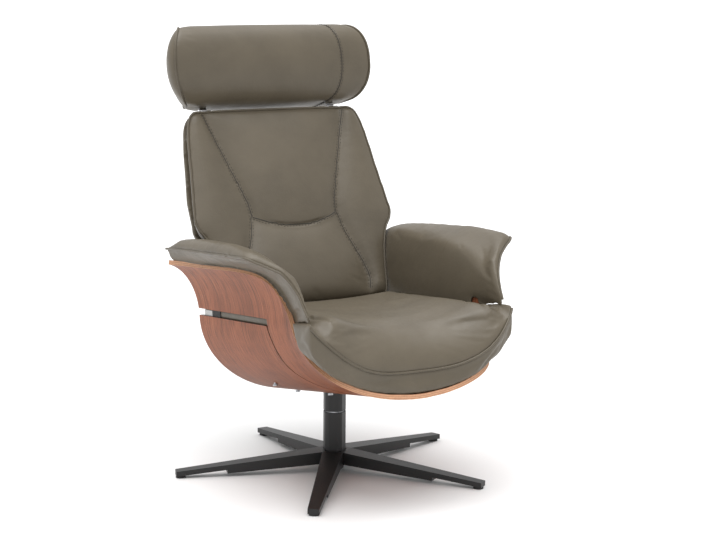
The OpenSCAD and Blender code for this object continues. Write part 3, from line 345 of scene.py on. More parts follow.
TAUPE = (0.1, 0.083, 0.058)
PALE_PLY, DARK_PLY = (0.56, 0.31, 0.18), (0.42, 0.2, 0.105)
hide = leather("taupe_leather", TAUPE, rough=0.42, creases=0.16)
hide_piping = leather("taupe_piping", tinted(TAUPE, 0.9), rough=0.4, creases=0.04)
thread = hard_finish("taupe_thread", (0.04, 0.034, 0.027), 0.6, scale=900, grain=0.2)
# Near-black rods along the seams: painted shade for the seam grooves
seam_shadow_paint = hard_finish("seam_shadow", (0.03, 0.026, 0.021), 0.7, scale=500)
walnut = wood("walnut_veneer", (0.1, 0.032, 0.015), (0.28, 0.092, 0.043), (0.42, 0.165, 0.085))
walnut_edge = ply_edge("ply_edge", DARK_PLY, PALE_PLY)
# Near-black ply for the edges along the slot and the cut: painted shade for the shadow in those narrow gaps
cut_edge_shade_ply = ply_edge("ply_cut_painted_shade", (0.07, 0.03, 0.018), (0.11, 0.05, 0.03))
black_coat = hard_finish("black_powder_coat", gray(0.006), 0.45, grain=0.1, scale=420)
black_rubber = hard_finish("black_rubber", gray(0.02), 0.75, grain=0.2, scale=300)
black_plastic = hard_finish("black_plastic", gray(0.006), 0.65, grain=0.12, scale=360)
bearing = hard_finish("bearing_plastic", (0.6, 0.58, 0.52), 0.5, scale=240)
zinc = hard_finish("zinc_steel", (0.42, 0.43, 0.45), 0.35, metallic=1.0, scale=90)
brushed_metal = hard_finish(
    "brushed_metal", (0.4, 0.4, 0.39), 0.35, metallic=1.0, brushed=(1, 1, 14), scale=70, grain=0.1)
chrome = hard_finish("chrome", (0.8, 0.8, 0.82), 0.09, metallic=1.0, varied=0.03, scale=60, grain=0.01)
deck_ply = hard_finish("deck_plywood", (0.55, 0.4, 0.24), 0.55, brushed=(1, 12, 12), scale=26, grain=0.2)
BY_SLOT = {
    "black_metal": black_coat, "black_rubber": black_rubber, "bearing_plastic": bearing,
    "plywood": deck_ply, "black_plastic": black_plastic, "bare_metal": brushed_metal, "chrome": chrome,
    "steel": zinc, "walnut": walnut, "taupe_leather": hide,
}


# Making pieces
def round_edges(obj, width, segments, angle):
    """Rounds an object's edges that are sharper than an angle in degrees."""
    bevel = obj.modifiers.new("edge", "BEVEL")
    bevel.width = width * MM
    bevel.segments = segments
    bevel.limit_method = "ANGLE"
    bevel.angle_limit = math.radians(angle)


def new_object(name, data, body, slot, *materials):
    """An object with the given materials, that rides on a body where one is given. Its slot is not used."""
    obj = bpy.data.objects.new(name, data)
    bpy.context.collection.objects.link(obj)
    for material in materials:
        obj.data.materials.append(material)
    if body:
        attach(obj, body)
    return obj


def baked(obj):
    """Applies every modifier of an object."""
    graph = bpy.context.evaluated_depsgraph_get()
    mesh = bpy.data.meshes.new_from_object(obj.evaluated_get(graph))
    obj.modifiers.clear()
    old = obj.data
    obj.data = mesh
    bpy.data.meshes.remove(old)
    return obj


def mesh_from(build, name, sharp):
    """The mesh of a finished build, smooth but for edges sharper than an angle in degrees."""
    mesh = bpy.data.meshes.new(name)
    build.to_mesh(mesh)
    build.free()
    mesh.shade_smooth()
    mesh.set_sharp_from_angle(angle=math.radians(sharp))
    return mesh


def skin_rings(build, rings):
    """Faces over closed rings of vertices, and one over each end."""
    count = len(rings[0])
    for ring, following in zip(rings, rings[1:]):
        for k in range(count):
            n = (k + 1) % count
            build.faces.new([ring[k], ring[n], following[n], following[k]])
    build.faces.new(list(reversed(rings[0])))
    build.faces.new(rings[-1])


# Carried CAD nodes: a material each, and small bevels, in millimetres, by the start of the node's name
BEVELS = {
    "leg_": 1.6, "column_": 0.9, "slot_blocks": 0.8, "shell_screws": 0.8, "headrest_bar": 0.6,
    "headrest_brackets": 0.5, "bar_sleeves": 1.0, "slot_plates": 0.6,
}
for part in frame["record"]["subparts"]:
    piece = nodes[part["node"]]
    piece.data.materials.clear()
    piece.data.materials.append(BY_SLOT[part["material_slot"]])
    for start, width in BEVELS.items():
        if part["node"].startswith(start):
            round_edges(piece, width, segments=3, angle=35)

# Bent wood shell: sizes as in the part's source
BOWL_HALF_W, BOWL_ROUND, BOWL_RISE, BOWL_MID = 248, 200, 13, 389
STRAIGHT = 6
FLARE_REACH, FLARE_H = 87.5, 130
FLARE_BASE, FLARE_MID = BOWL_MID + STRAIGHT, BOWL_HALF_W + FLARE_REACH
FLARE_ARC = math.radians(80)
PLY = 11
SHELL_BACK, SHELL_FRONT = 185, 441
SHELL_TOP = FLARE_BASE + (FLARE_H + PLY) * math.sin(FLARE_ARC)
BOWL_FLOOR = BOWL_MID - BOWL_ROUND
RIM_HALF_W = FLARE_MID - (FLARE_REACH + PLY) * math.cos(FLARE_ARC)
SLOT_H, SLOT_END, CUT_GAP = 16.5, 196, 5
SLOT_LIFT, SLOT_FALL = 5.5, 0.0425
WIDEN, WIDEN_AT, WIDEN_EASE = 44, 358, 40
# The rim and the curved cut in the side view, as shares of the shell's length ahead and of its height
RIM_SHARES = [
    (-0.054, 0.967), (0.231, 0.95), (0.356, 0.937), (0.474, 0.916), (0.556, 0.887), (0.61, 0.842),
    (0.65, 0.783), (0.698, 0.684), (0.73, 0.615), (0.757, 0.556), (0.782, 0.488), (0.81, 0.418),
    (0.841, 0.356), (0.88, 0.299), (0.921, 0.249), (0.959, 0.206), (0.986, 0.156), (1, 0.071),
]
CUT_SHARES = [
    (0.465, 0.45), (0.468, 0.365), (0.467, 0.293), (0.483, 0.212), (0.535, 0.136), (0.646, 0.07),
    (0.76, -0.014),
]
# Steps along the slot, the cut and the front of the sheet, and across its upper and lower pieces
SLOT_STEPS, CUT_STEPS, FRONT_STEPS = 60, 50, 22
UPPER_ACROSS, LOWER_ACROSS = 30, 44
SLOT_RIM = 0.47
# Edge material indices: the pale ply, and the near-black ply that paints the shade in the slot and cut gaps
PALE_EDGE, SHADED_CUT_EDGE = 1, 2
MIRROR_SHIFT = 0.7
QUARTER = BOWL_HALF_W * math.pi / 2
NO_LENGTH, WELD_SHEET = 1e-6, 2e-5


def on_side(share):
    return share[0] * SHELL_FRONT, mix(BOWL_FLOOR, SHELL_TOP, share[1])


def slot_low(ahead):
    """The height of the slot's lower edge."""
    return BOWL_MID + SLOT_LIFT - (ahead + SHELL_BACK) * SLOT_FALL


def bowl_depth(ahead):
    """The depth of the bowl's floor below its middle height."""
    return BOWL_ROUND - BOWL_RISE * (ahead + SHELL_BACK) / (SHELL_FRONT + SHELL_BACK)


def widening(ahead):
    """How much wider the shell is on each side towards its front."""
    past, full = ahead - WIDEN_AT, SHELL_FRONT - WIDEN_AT
    return WIDEN * (past + math.hypot(past, WIDEN_EASE)) / (full + math.hypot(full, WIDEN_EASE))


def sheet_point(bend, ahead, inset):
    """A point of the sheet: bend is the length round it from the middle of its floor, in rough mm."""
    wide = widening(ahead)
    if bend <= QUARTER:
        a = bend / BOWL_HALF_W
        return ((BOWL_HALF_W - inset + wide) * math.sin(a), ahead,
                BOWL_MID - (bowl_depth(ahead) - inset) * math.cos(a))
    if bend <= QUARTER + STRAIGHT:
        return BOWL_HALF_W - inset + wide, ahead, BOWL_MID + bend - QUARTER
    a = (bend - QUARTER - STRAIGHT) / FLARE_H
    return (wide + FLARE_MID - (FLARE_REACH + inset) * math.cos(a), ahead,
            FLARE_BASE + (FLARE_H + inset) * math.sin(a))


def bend_at(up, ahead, inset):
    """The length round the sheet at which it reaches a height."""
    if up <= BOWL_MID:
        return BOWL_HALF_W * math.acos(min(1, (BOWL_MID - up) / (bowl_depth(ahead) - inset)))
    if up <= FLARE_BASE:
        return QUARTER + up - BOWL_MID
    widest = math.acos(clamp01((FLARE_MID - RIM_HALF_W) / (FLARE_REACH + inset)))
    a = min(math.asin(min(1, (up - FLARE_BASE) / (FLARE_H + inset))), widest)
    return QUARTER + STRAIGHT + FLARE_H * a


def sheet_rows(low_line, high_line, across, square_top, inset):
    """Rows of (across, ahead, up, bend) over a piece of the sheet, from one line to the other."""
    rows = []
    for (low_ahead, low_up), (high_ahead, high_up) in zip(low_line, high_line):
        low = 0.0 if low_up is None else bend_at(low_up, low_ahead, inset)
        high = bend_at(high_up, high_ahead, PLY if square_top else inset)
        if square_top:
            high = max(low, high)
        rows.append([(*sheet_point(bend, ahead, inset), bend) for bend, ahead in
                     zip(spread(low, high, across), spread(low_ahead, high_ahead, across))])
    return rows


def add_face(build, uv, corners, places, material_index=0):
    face = build.faces.new(corners)
    face.material_index = material_index
    for loop, place in zip(face.loops, places):
        loop[uv].uv = place


def add_skin(build, uv, rows, side, turned):
    """One face of the sheet on one side of the chair. Returns its vertices, row by row."""
    skin = [[build.verts.new(in_shell(side * p[0], p[1], p[2])) for p in row] for row in rows]
    places = [[(p[1] * MM + MIRROR_SHIFT * (side < 0), side * p[3] * MM) for p in row] for row in rows]
    for i in range(len(rows) - 1):
        for k in range(len(rows[0]) - 1):
            ring = [(i, k), (i + 1, k), (i + 1, k + 1), (i, k + 1)]
            if turned:
                ring.reverse()
            corners = [skin[a][b] for a, b in ring]
            if len({tuple(v.co) for v in corners}) >= 3:
                add_face(build, uv, corners, [places[a][b] for a, b in ring])
    return skin


def add_edge(build, uv, skins, steps, side, material_index):
    """A strip across the sheet's thickness, along steps from one (row, place) to the next."""
    outer, inner = skins
    along = 0.0
    for (i, k), (j, m) in steps:
        corners = [outer[i][k], outer[j][m], inner[j][m], inner[i][k]]
        length = (corners[1].co - corners[0].co).length
        if length < NO_LENGTH:
            continue
        places = [(along, 0), (along + length, 0), (along + length, 1), (along, 1)]
        if side < 0:
            corners.reverse()
            places.reverse()
        add_face(build, uv, corners, places, material_index)
        along += length


def sheet(name, low_line, high_line, across, top_edge):
    """A piece of the bent sheet between two lines of (ahead, up). Where up is None the line is the middle
    of the floor, where both sides meet. Its cut edges take a near-black ply, painted shade for the narrow
    gaps of the slot and the cut. Its top edge has material top_edge, and is square to the sheet where that
    is the pale one."""
    last = len(low_line) - 1
    top = [(i, across) for i in range(last + 1)] + [(last, k) for k in range(across - 1, -1, -1)]
    low = [(i, 0) for i in range(last, -1, -1)] + [(0, k) for k in range(1, across + 1)]
    top_steps = list(zip(top, top[1:]))
    low_steps = [(a, b) for a, b in zip(low, low[1:])
                 if b[1] > 0 or low_line[a[0]][1] is not None or low_line[b[0]][1] is not None]
    build = bmesh.new()
    uv = build.loops.layers.uv.new("UVMap")
    for side, _ in SIDES:
        skins = []
        for inset in (0, PLY):
            rows = sheet_rows(low_line, high_line, across, top_edge == PALE_EDGE, inset)
            skins.append(add_skin(build, uv, rows, side, (side > 0) == (inset == 0)))
        add_edge(build, uv, skins, top_steps, side, top_edge)
        # The edges along the slot and the cut take the near-black ply of painted shade
        add_edge(build, uv, skins, low_steps, side, SHADED_CUT_EDGE)
    bmesh.ops.remove_doubles(build, verts=build.verts, dist=WELD_SHEET)
    mesh = mesh_from(build, name, sharp=35)
    obj = new_object(name, mesh, "swivel", "walnut", walnut, walnut_edge, cut_edge_shade_ply)
    round_edges(obj, 1.1, segments=2, angle=50)
    return obj


RIM_FRONT = smooth_line([on_side(share) for share in RIM_SHARES], 5)
RIM_LINE = [(-SHELL_BACK, SHELL_TOP)] + RIM_FRONT
CUT_LINE = smooth_line([(SLOT_END, slot_low(SLOT_END))] + [on_side(share) for share in CUT_SHARES], 6)
cut_foot = next(i for i, p in enumerate(CUT_LINE) if p[1] < BOWL_MID - bowl_depth(p[0]))
CUT_TIP = CUT_LINE[cut_foot][0]
cut_points = [at_share(CUT_LINE[:cut_foot + 1], t) for t in spread(0, 1, CUT_STEPS)]
slot_shares = spread(0, 1, SLOT_STEPS)[:-1]

# Upper piece: from the slot and the cut up to the rim, whole across the front
upper_low = [(mix(-SHELL_BACK, SLOT_END + CUT_GAP, t), slot_low(mix(-SHELL_BACK, SLOT_END, t)) + SLOT_H)
             for t in slot_shares]
upper_low += [(ahead + CUT_GAP, up + SLOT_H * max(0, 1 - i / 2))
              for i, (ahead, up) in enumerate(cut_points[:-1])]
upper_low += [(ahead, None) for ahead in spread(CUT_TIP + CUT_GAP, SHELL_FRONT, FRONT_STEPS)]
rim_shares = [t * SLOT_RIM for t in slot_shares] + spread(SLOT_RIM, 1, CUT_STEPS + FRONT_STEPS)
upper_high = [at_share(RIM_LINE, t) for t in rim_shares]
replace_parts(sheet("shell_upper_veneer", upper_low, upper_high, UPPER_ACROSS, PALE_EDGE), "shell_upper")

# Lower piece: the bowl below the slot and behind the cut
slot_ahead = [mix(-SHELL_BACK, SLOT_END, t) for t in slot_shares]
lower_high = [(ahead, slot_low(ahead)) for ahead in slot_ahead] + cut_points
lower_low = [(ahead, None) for ahead in spread(-SHELL_BACK, CUT_TIP, len(lower_high) - 1)]
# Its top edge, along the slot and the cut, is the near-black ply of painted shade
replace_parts(sheet("shell_lower_veneer", lower_low, lower_high, LOWER_ACROSS, SHADED_CUT_EDGE), "shell_lower")


# Soft forms
ROUND_TURNS, CALM_TURNS = 4, 2
FIRST_FRAME, LAST_FRAME = 1, 20
LINE_SPACING = 3.0
HOLD_GAIN = 1.3
WELD_SOLID = 1e-5


def smooth_by(obj, turns, group=""):
    """A modifier that smooths an object, or a vertex group of it."""
    smooth = obj.modifiers.new("smooth", "SMOOTH")
    smooth.factor = 0.5
    smooth.iterations = turns
    smooth.vertex_group = group


def remeshed(name, node, voxel):
    """A CAD solid as an even mesh with rounded edges. voxel is its spacing in millimetres."""
    mesh = nodes[node].data.copy()
    weld = bmesh.new()
    weld.from_mesh(mesh)
    bmesh.ops.remove_doubles(weld, verts=weld.verts, dist=WELD_SOLID)
    weld.to_mesh(mesh)
    weld.free()
    obj = new_object(name, mesh, None, None)
    remesh = obj.modifiers.new("remesh", "REMESH")
    remesh.mode = "VOXEL"
    remesh.voxel_size = voxel * MM
    smooth_by(obj, ROUND_TURNS)
    return baked(obj)


def ease_free(obj, held, turns):
    """Smooths the free places of a form."""
    group = obj.vertex_groups.new(name="free")
    for vert in obj.data.vertices:
        group.add([vert.index], 1 - held(vert.co), "REPLACE")
    smooth_by(obj, turns, "free")
    baked(obj)
    obj.vertex_groups.clear()


def puffed(obj, held):
    """The mesh of a form after a cloth simulation with air pressed in, between its held places."""
    group = obj.vertex_groups.new(name="held")
    for vert in obj.data.vertices:
        weight = held(vert.co)
        if weight > 0:
            group.add([vert.index], weight, "REPLACE")
    cloth = obj.modifiers.new("cloth", "CLOTH")
    cloth.settings.quality = 4
    cloth.settings.mass = 0.3
    cloth.settings.tension_stiffness = 12
    cloth.settings.compression_stiffness = 12
    cloth.settings.shear_stiffness = 6
    cloth.settings.bending_stiffness = 0.8
    cloth.settings.use_pressure = True
    cloth.settings.uniform_pressure_force = 4
    cloth.settings.effector_weights.gravity = 0
    cloth.settings.vertex_group_mass = "held"
    cloth.collision_settings.use_collision = False
    cloth.point_cache.frame_start = FIRST_FRAME
    cloth.point_cache.frame_end = LAST_FRAME
    for step in range(FIRST_FRAME, LAST_FRAME + 1):
        bpy.context.scene.frame_set(step)
    graph = bpy.context.evaluated_depsgraph_get()
    mesh = bpy.data.meshes.new_from_object(obj.evaluated_get(graph))
    obj.modifiers.clear()
    obj.vertex_groups.clear()
    bpy.context.scene.frame_set(FIRST_FRAME)
    return mesh


def soft_form(name, node, body, held, shape, cap, voxel=6, shrink=1.0, free_turns=0):
    """A padded form from a CAD solid: remeshed, drawn by shape(point), shrunk, puffed between the places
    that held(point) names (1 held, 0 free), moved no further than cap, and smoothed once."""
    obj = remeshed(name, node, voxel)
    if free_turns:
        ease_free(obj, held, free_turns)
    mesh = obj.data
    for vert in mesh.vertices:
        vert.co = shape(vert.co)
    normals = [v.normal.copy() for v in mesh.vertices]
    for vert, normal in zip(mesh.vertices, normals):
        vert.co -= normal * shrink * MM
    full = puffed(obj, held)
    for vert, there in zip(mesh.vertices, full.vertices):
        move = there.co - vert.co
        if move.length > cap * MM:
            move *= cap * MM / move.length
        vert.co += move
    bpy.data.meshes.remove(full)
    smooth_by(obj, CALM_TURNS)
    subdivide = obj.modifiers.new("subdivide", "SUBSURF")
    subdivide.levels = subdivide.render_levels = 1
    baked(obj)
    obj.data.shade_smooth()
    obj.data.materials.clear()
    obj.data.materials.append(hide)
    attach(obj, body)
    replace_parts(obj, node)
    return obj


def near_lines(lines):
    """A search tree over points along lines, in metres."""
    points = [p for line in lines for p in even(line, LINE_SPACING * MM)]
    tree = KDTree(len(points))
    for i, p in enumerate(points):
        tree.insert(p, i)
    tree.balance()
    return tree


def holder(lines, near):
    """Holds the places within a distance of lines, fully near them and less and less away from them."""
    tree = near_lines(lines)

    def held(point):
        distance = tree.find(point)[2] / MM
        return clamp01(HOLD_GAIN * (1 - distance / near))
    return held


def press(obj, lines, width, depth):
    """Draws a form in along lines, as a seam does."""
    tree = near_lines(lines)
    normals = [v.normal.copy() for v in obj.data.vertices]
    for vert, normal in zip(obj.data.vertices, normals):
        distance = tree.find(vert.co)[2] / MM
        if distance < width:
            vert.co -= normal * depth * MM * (1 - (distance / width) ** 2) ** 2


def surface_of(obj):
    return BVHTree.FromObject(obj, bpy.context.evaluated_depsgraph_get())


# Piping, painted seam shadows and stitches, laid on a form. Piping has a radius and a height above the form
THICK_PIPING, THIN_PIPING = (2.8, 2.2), (2.6, 2.0)
SEAM_RADIUS, SEAM_LIFT = 0.9, 0.1
STITCH_LEN, STITCH_GAP, STITCH_RADIUS, STITCH_SIDES = 5.0, 3.2, 0.55, 5
# Each ring of a stitch: its place along the stitch, its size and its height, as shares
STITCH_RINGS = [(-0.5, 0.3, -0.4), (-0.3, 1.0, 0.9), (0.3, 1.0, 0.9), (0.5, 0.3, -0.4)]


def laid(surface, line, lift):
    """A line laid on a surface, raised by a distance in millimetres."""
    out = []
    for p in line:
        spot, normal, _, _ = surface.find_nearest(p)
        out.append(spot + normal * lift * MM)
    return out


def tube(name, lines, radius, body, material, closed=False, slot="taupe_leather"):
    """Round rods along lines."""
    curve = bpy.data.curves.new(name, "CURVE")
    curve.dimensions = "3D"
    curve.bevel_depth = radius * MM
    curve.bevel_resolution = 3
    curve.use_fill_caps = True
    for line in lines:
        spline = curve.splines.new("POLY")
        spline.points.add(len(line) - 1)
        for point, place in zip(spline.points, line):
            point.co = (*place, 1)
        spline.use_cyclic_u = closed
    return new_object(name, curve, body, slot, material)


def piping(name, surface, lines, body, size, closed=False):
    radius, lift = size
    return tube(name, [laid(surface, line, lift) for line in lines], radius, body, hide_piping, closed)


# Lays a thin near-black rod along each seam line, painting the shade of its groove
def seam_shadow_lines(name, surface, lines, body):
    return tube(name, [laid(surface, line, SEAM_LIFT) for line in lines], SEAM_RADIUS, body, seam_shadow_paint)


def add_stitch(build, surface, spot, along, offset):
    """One stitch on a surface, in a direction, at a distance beside a spot."""
    near, normal, _, _ = surface.find_nearest(spot)
    out = normal.cross(along).normalized()
    middle, normal, _, _ = surface.find_nearest(near + out * offset * MM)
    along = (along - normal * along.dot(normal)).normalized()
    out = normal.cross(along)
    turns = [math.tau * k / STITCH_SIDES for k in range(STITCH_SIDES)]
    rings = []
    for place, size, height in STITCH_RINGS:
        at = middle + along * STITCH_LEN * place * MM + normal * STITCH_RADIUS * height * MM
        rings.append([build.verts.new(
            at + (out * math.cos(a) + normal * math.sin(a)) * STITCH_RADIUS * size * MM) for a in turns])
    skin_rings(build, rings)


def stitches(name, surface, lines, beside, body):
    """Rows of short stitches on a surface, at distances beside lines."""
    build = bmesh.new()
    for line in lines:
        spots = even(line, (STITCH_LEN + STITCH_GAP) / 2 * MM)
        for offset in beside:
            for i in range(1, len(spots) - 1, 2):
                along = (spots[i + 1] - spots[i - 1]).normalized()
                add_stitch(build, surface, spots[i], along, offset)
    bmesh.ops.recalc_face_normals(build, faces=build.faces)
    return new_object(name, mesh_from(build, name, sharp=50), body, "taupe_leather", thread)


# Arms
FOOT_UP = BOWL_MID + 8
FOOT_THICK = 3
FOOT_REAR = next(a for a, up in RIM_FRONT if up <= FOOT_UP)
FOOT_FRONT = SHELL_FRONT * 0.945
FOOT_SETTLE, FOOT_ROOM, FOOT_CLEAR, FOOT_SUNK = 18, 14, 4, 9
ARM_REAR = -SHELL_BACK
PIPE_REAR_OUT, PIPE_FRONT_OUT = 79, 102
PIPE_REAR = (BOWL_HALF_W + PIPE_REAR_OUT, BOWL_MID + 174)
PIPE_FRONT = (BOWL_HALF_W + PIPE_FRONT_OUT, BOWL_MID + 150)
PIPE_KNEE = SHELL_FRONT * 0.72
PIPE_DROP = PIPE_FRONT[1] - FOOT_UP - FOOT_THICK
PIPE_IN = PIPE_FRONT_OUT * 0.96
# The piping's fall at the front: shares of the way ahead, inwards and down
PIPE_FALL_SHARES = [
    (0, 0, 0), (0.1, 0.12, 0.05), (0.23, 0.36, 0.14), (0.48, 0.67, 0.28), (0.6, 0.83, 0.45),
    (0.75, 0.94, 0.66), (0.93, 0.99, 0.95), (1, 1, 1),
]
PIPE_INSET, KNEE_BEFORE, KNEE_NEAR = 2, 26, 12
BAND_STEPS, BAND_PIPE_STEPS, BAND_IN = 90, 150, 0.5


def pipe_at(ahead):
    """The arm's piping: across and up, at a distance ahead."""
    if ahead < PIPE_KNEE:
        t = (ahead - ARM_REAR) / (PIPE_KNEE - ARM_REAR)
        return mix(PIPE_REAR[0], PIPE_FRONT[0], t), mix(PIPE_REAR[1], PIPE_FRONT[1], t)
    t = (ahead - PIPE_KNEE) / (FOOT_FRONT - PIPE_KNEE)
    inwards = lookup(t, [(f[0], f[1]) for f in PIPE_FALL_SHARES])
    down = lookup(t, [(f[0], f[2]) for f in PIPE_FALL_SHARES])
    return PIPE_FRONT[0] - PIPE_IN * inwards, PIPE_FRONT[1] - PIPE_DROP * down


def arm_band():
    """The leather band of an arm, between the rim's inner edge and the piping, in the shell's frame."""
    rim = [q for q in RIM_LINE if q[1] > FOOT_UP]
    pipe = [(a, pipe_at(a)[1], pipe_at(a)[0]) for a in spread(ARM_REAR, FOOT_FRONT, BAND_PIPE_STEPS)]
    points = []
    for t in spread(0, 1, BAND_STEPS):
        ahead, up = at_share(rim, t)
        points.append(Vector((sheet_point(bend_at(up, ahead, PLY), ahead, PLY)[0] - BAND_IN, ahead, up)))
        ahead, up, x = at_share(pipe, t)
        points.append(Vector((x, ahead, up)))
    faces = [(i, i + 1, i + 3, i + 2) for i in range(0, 2 * BAND_STEPS, 2)]
    return BVHTree.FromPolygons(points, faces)


band = arm_band()


def arm_shape(point):
    """Draws an arm's outer face in to its band, and settles its foot towards the seat."""
    x, ahead, up = from_shell(point)
    hit = band.ray_cast(Vector((0, ahead, up)), Vector((1, 0, 0)))[0]
    if hit and abs(x) > hit.x:
        x = math.copysign(hit.x, x)
    if ahead > FOOT_REAR:
        lower = up - FOOT_SETTLE * clamp01((FOOT_UP + FOOT_ROOM + FOOT_CLEAR - up) / FOOT_ROOM)
        up = max(lower, min(up, FOOT_UP - FOOT_SUNK))
    return in_shell(x, ahead, up)


pipe_stations = spread(ARM_REAR + PIPE_INSET, PIPE_KNEE - KNEE_BEFORE, 12)
pipe_stations += spread(PIPE_KNEE - KNEE_NEAR, FOOT_FRONT - PIPE_INSET, 9)
for side, label in SIDES:
    rough_edge = smooth_line([(side * pipe_at(a)[0], a, pipe_at(a)[1]) for a in pipe_stations], 5)
    arm_edge = [in_shell(*p) for p in rough_edge]
    arm = soft_form("arm_leather_" + label, "arm_pad_" + label, "swivel", holder([arm_edge], near=16),
                    arm_shape, cap=2, voxel=5, free_turns=60)
    press(arm, [arm_edge], width=6.5, depth=1.6)
    piping("arm_piping_" + label, surface_of(arm), [arm_edge], "swivel", THICK_PIPING)

# Seat
LIP_HALF_W = BOWL_HALF_W + 14
SEAT_PIPE_HALF_W = LIP_HALF_W * 0.99
LIP_BULGE, LIP_DEPTH, LIP_CLIMB, LIP_CURVE = 22, 126, 123, 3.1
LIP_TOP = FOOT_UP - 4
LIP_REAR, LIP_FROM, LIP_UNDER = FOOT_REAR - 6, 200, 24
LIP_RISE, LIP_RISE_ROOM, LIP_SIDE_ROOM = 20, 14, 25
LIP_ROUND, LIP_OVER = 18, 3
LOW_BORDER_FROM, LOW_BORDER_DROP, LOW_BORDER_UNDER, LOW_BORDER_ROOM = 400, 3.5, 12, 20


def seat_pipe(x):
    """The seat's piping round its front, in the shell's frame."""
    q = abs(x) / LIP_HALF_W
    return (x, SHELL_FRONT + LIP_BULGE * math.sin(math.pi * q * q),
            BOWL_MID - LIP_DEPTH + LIP_CLIMB * q ** LIP_CURVE)


def seat_shape(point):
    """Fills the seat's front corners up to the arms' feet, rounds them, and draws its lower border out."""
    x, ahead, up = from_shell(point)
    if ahead > LIP_REAR and abs(x) > LIP_FROM and up > LIP_TOP - LIP_UNDER:
        rise = clamp01((up - LIP_TOP + LIP_UNDER) / LIP_RISE_ROOM)
        up += LIP_RISE * rise * clamp01((abs(x) - LIP_FROM) / LIP_SIDE_ROOM)
        q = clamp01((abs(x) - LIP_HALF_W + LIP_ROUND) / LIP_ROUND)
        up = min(up, LIP_TOP + LIP_OVER - LIP_ROUND * (1 - math.sqrt(1 - q * q)))
    if ahead > LOW_BORDER_FROM:
        low = clamp01((seat_pipe(x)[2] - LOW_BORDER_UNDER - up) / LOW_BORDER_ROOM)
        up -= LOW_BORDER_DROP * low
        ahead += LOW_BORDER_DROP / 2 * low
    return in_shell(x, ahead, up)


seat_edge = [in_shell(*seat_pipe(SEAT_PIPE_HALF_W * q)) for q in spread(-1, 1, 90)]
seat = soft_form("seat_leather", "seat_cushion", "seat", holder([seat_edge], near=22), seat_shape, cap=4)
press(seat, [seat_edge], width=6.5, depth=2.0)
piping("seat_piping", surface_of(seat), [seat_edge], "seat", THICK_PIPING)

# Back: half its width along its length, and the V seams' place across, as shares of both sizes
BACK_HALF_W = BOWL_HALF_W + 24
BACK_SIDE_SHARES = [
    (-0.04, 0.765), (0, 0.785), (0.049, 0.798), (0.13, 0.82), (0.21, 0.846), (0.29, 0.89), (0.33, 0.919),
    (0.358, 0.965), (0.4, 1), (0.44, 0.997), (0.52, 0.978), (0.667, 0.945), (0.81, 0.919), (0.9, 0.895),
    (0.95, 0.87), (0.98, 0.835), (1, 0.77),
]
BACK_SEAM_SHARES = [
    (0, 0.6), (0.09, 0.62), (0.2, 0.56), (0.3, 0.49), (0.42, 0.435), (0.5, 0.45), (0.65, 0.53),
    (0.8, 0.61), (1, 0.715),
]
TOP_CORNER_SHARES = [(0.8, 0.988), (0.72, 0.996), (0.6, 1.0)]
TOP_FLAT = TOP_CORNER_SHARES[-1][0]
YOKE_U, YOKE_SAG = 0.425 * BACK_LEN, 30
SEAM_FRONT, YOKE_FRONT, EDGE_FRONT = BACK_FRONT + 4, BACK_FRONT + 8, BACK_FRONT - 1
EDGE_IN = 1
TOP_RISE, TOP_ROOM = 6.5, 30
COVER_OUT, COVER_FROM, COVER_ROOM = 9, 215, 60
COVER_SIDE_FROM, COVER_SIDE_ROOM = 0.5, 0.25
COVER_HELD = 0.6
COLLAR_X, COLLAR_HALF_W, COLLAR_RADIUS = 178, 12, 2.6
COLLAR_F, COLLAR_U = BACK_FRONT - 12, BACK_LEN + 1


def back_side(u):
    return BACK_HALF_W * lookup(u / BACK_LEN, BACK_SIDE_SHARES)


def back_seam(u):
    return BACK_HALF_W * lookup(u / BACK_LEN, BACK_SEAM_SHARES)


def back_shape(point):
    """Fills the back's top edge."""
    x, f, u = from_back(point)
    return in_back(x, f, u + TOP_RISE * clamp01((u - BACK_LEN + TOP_ROOM) / TOP_ROOM))


def cover_shape(point):
    """Fills the rear cover's sides above the arms."""
    x, f, u = from_back(point)
    out = COVER_OUT * clamp01((u - COVER_FROM) / COVER_ROOM)
    out *= clamp01((abs(x) / BACK_HALF_W - COVER_SIDE_FROM) / COVER_SIDE_ROOM)
    return in_back(math.copysign(abs(x) + out, x), f, u)


seam_rows = [share * BACK_LEN for share in spread(0.01, 0.985, 16)]
half_seam = smooth_line([(back_seam(u), u) for u in seam_rows], 4)
seams = [[in_back(side * x, SEAM_FRONT, u) for x, u in half_seam] for side, _ in SIDES]
yoke = [in_back(q * back_seam(YOKE_U), YOKE_FRONT, YOKE_U - YOKE_SAG * (1 - q * q))
        for q in spread(-1, 1, 40)]
edge_rows = [share * BACK_LEN for share in spread(-0.02, 0.96, 24)]
half_edge = smooth_line([(back_side(u) - EDGE_IN, u) for u in edge_rows], 3)
corner = [(BACK_HALF_W * across, BACK_LEN * up) for across, up in TOP_CORNER_SHARES]
half_edge += smooth_line([half_edge[-1]] + corner, 4)[1:]
top_edge = [(q * BACK_HALF_W * TOP_FLAT, BACK_LEN) for q in spread(1, -1, 20)[1:-1]]
far_edge = [(-x, u) for x, u in reversed(half_edge)]
back_edge = [in_back(x, EDGE_FRONT, u) for x, u in half_edge + top_edge + far_edge]
back = soft_form("back_leather", "back_cushion", "back", holder(seams + [yoke, back_edge], near=20),
                 back_shape, cap=8, shrink=1.5)
press(back, seams, width=6, depth=2.4)
press(back, [yoke], width=8, depth=3.6)
press(back, [back_edge], width=6, depth=1.6)
back_skin = surface_of(back)
piping("back_piping", back_skin, [back_edge], "back", THIN_PIPING)
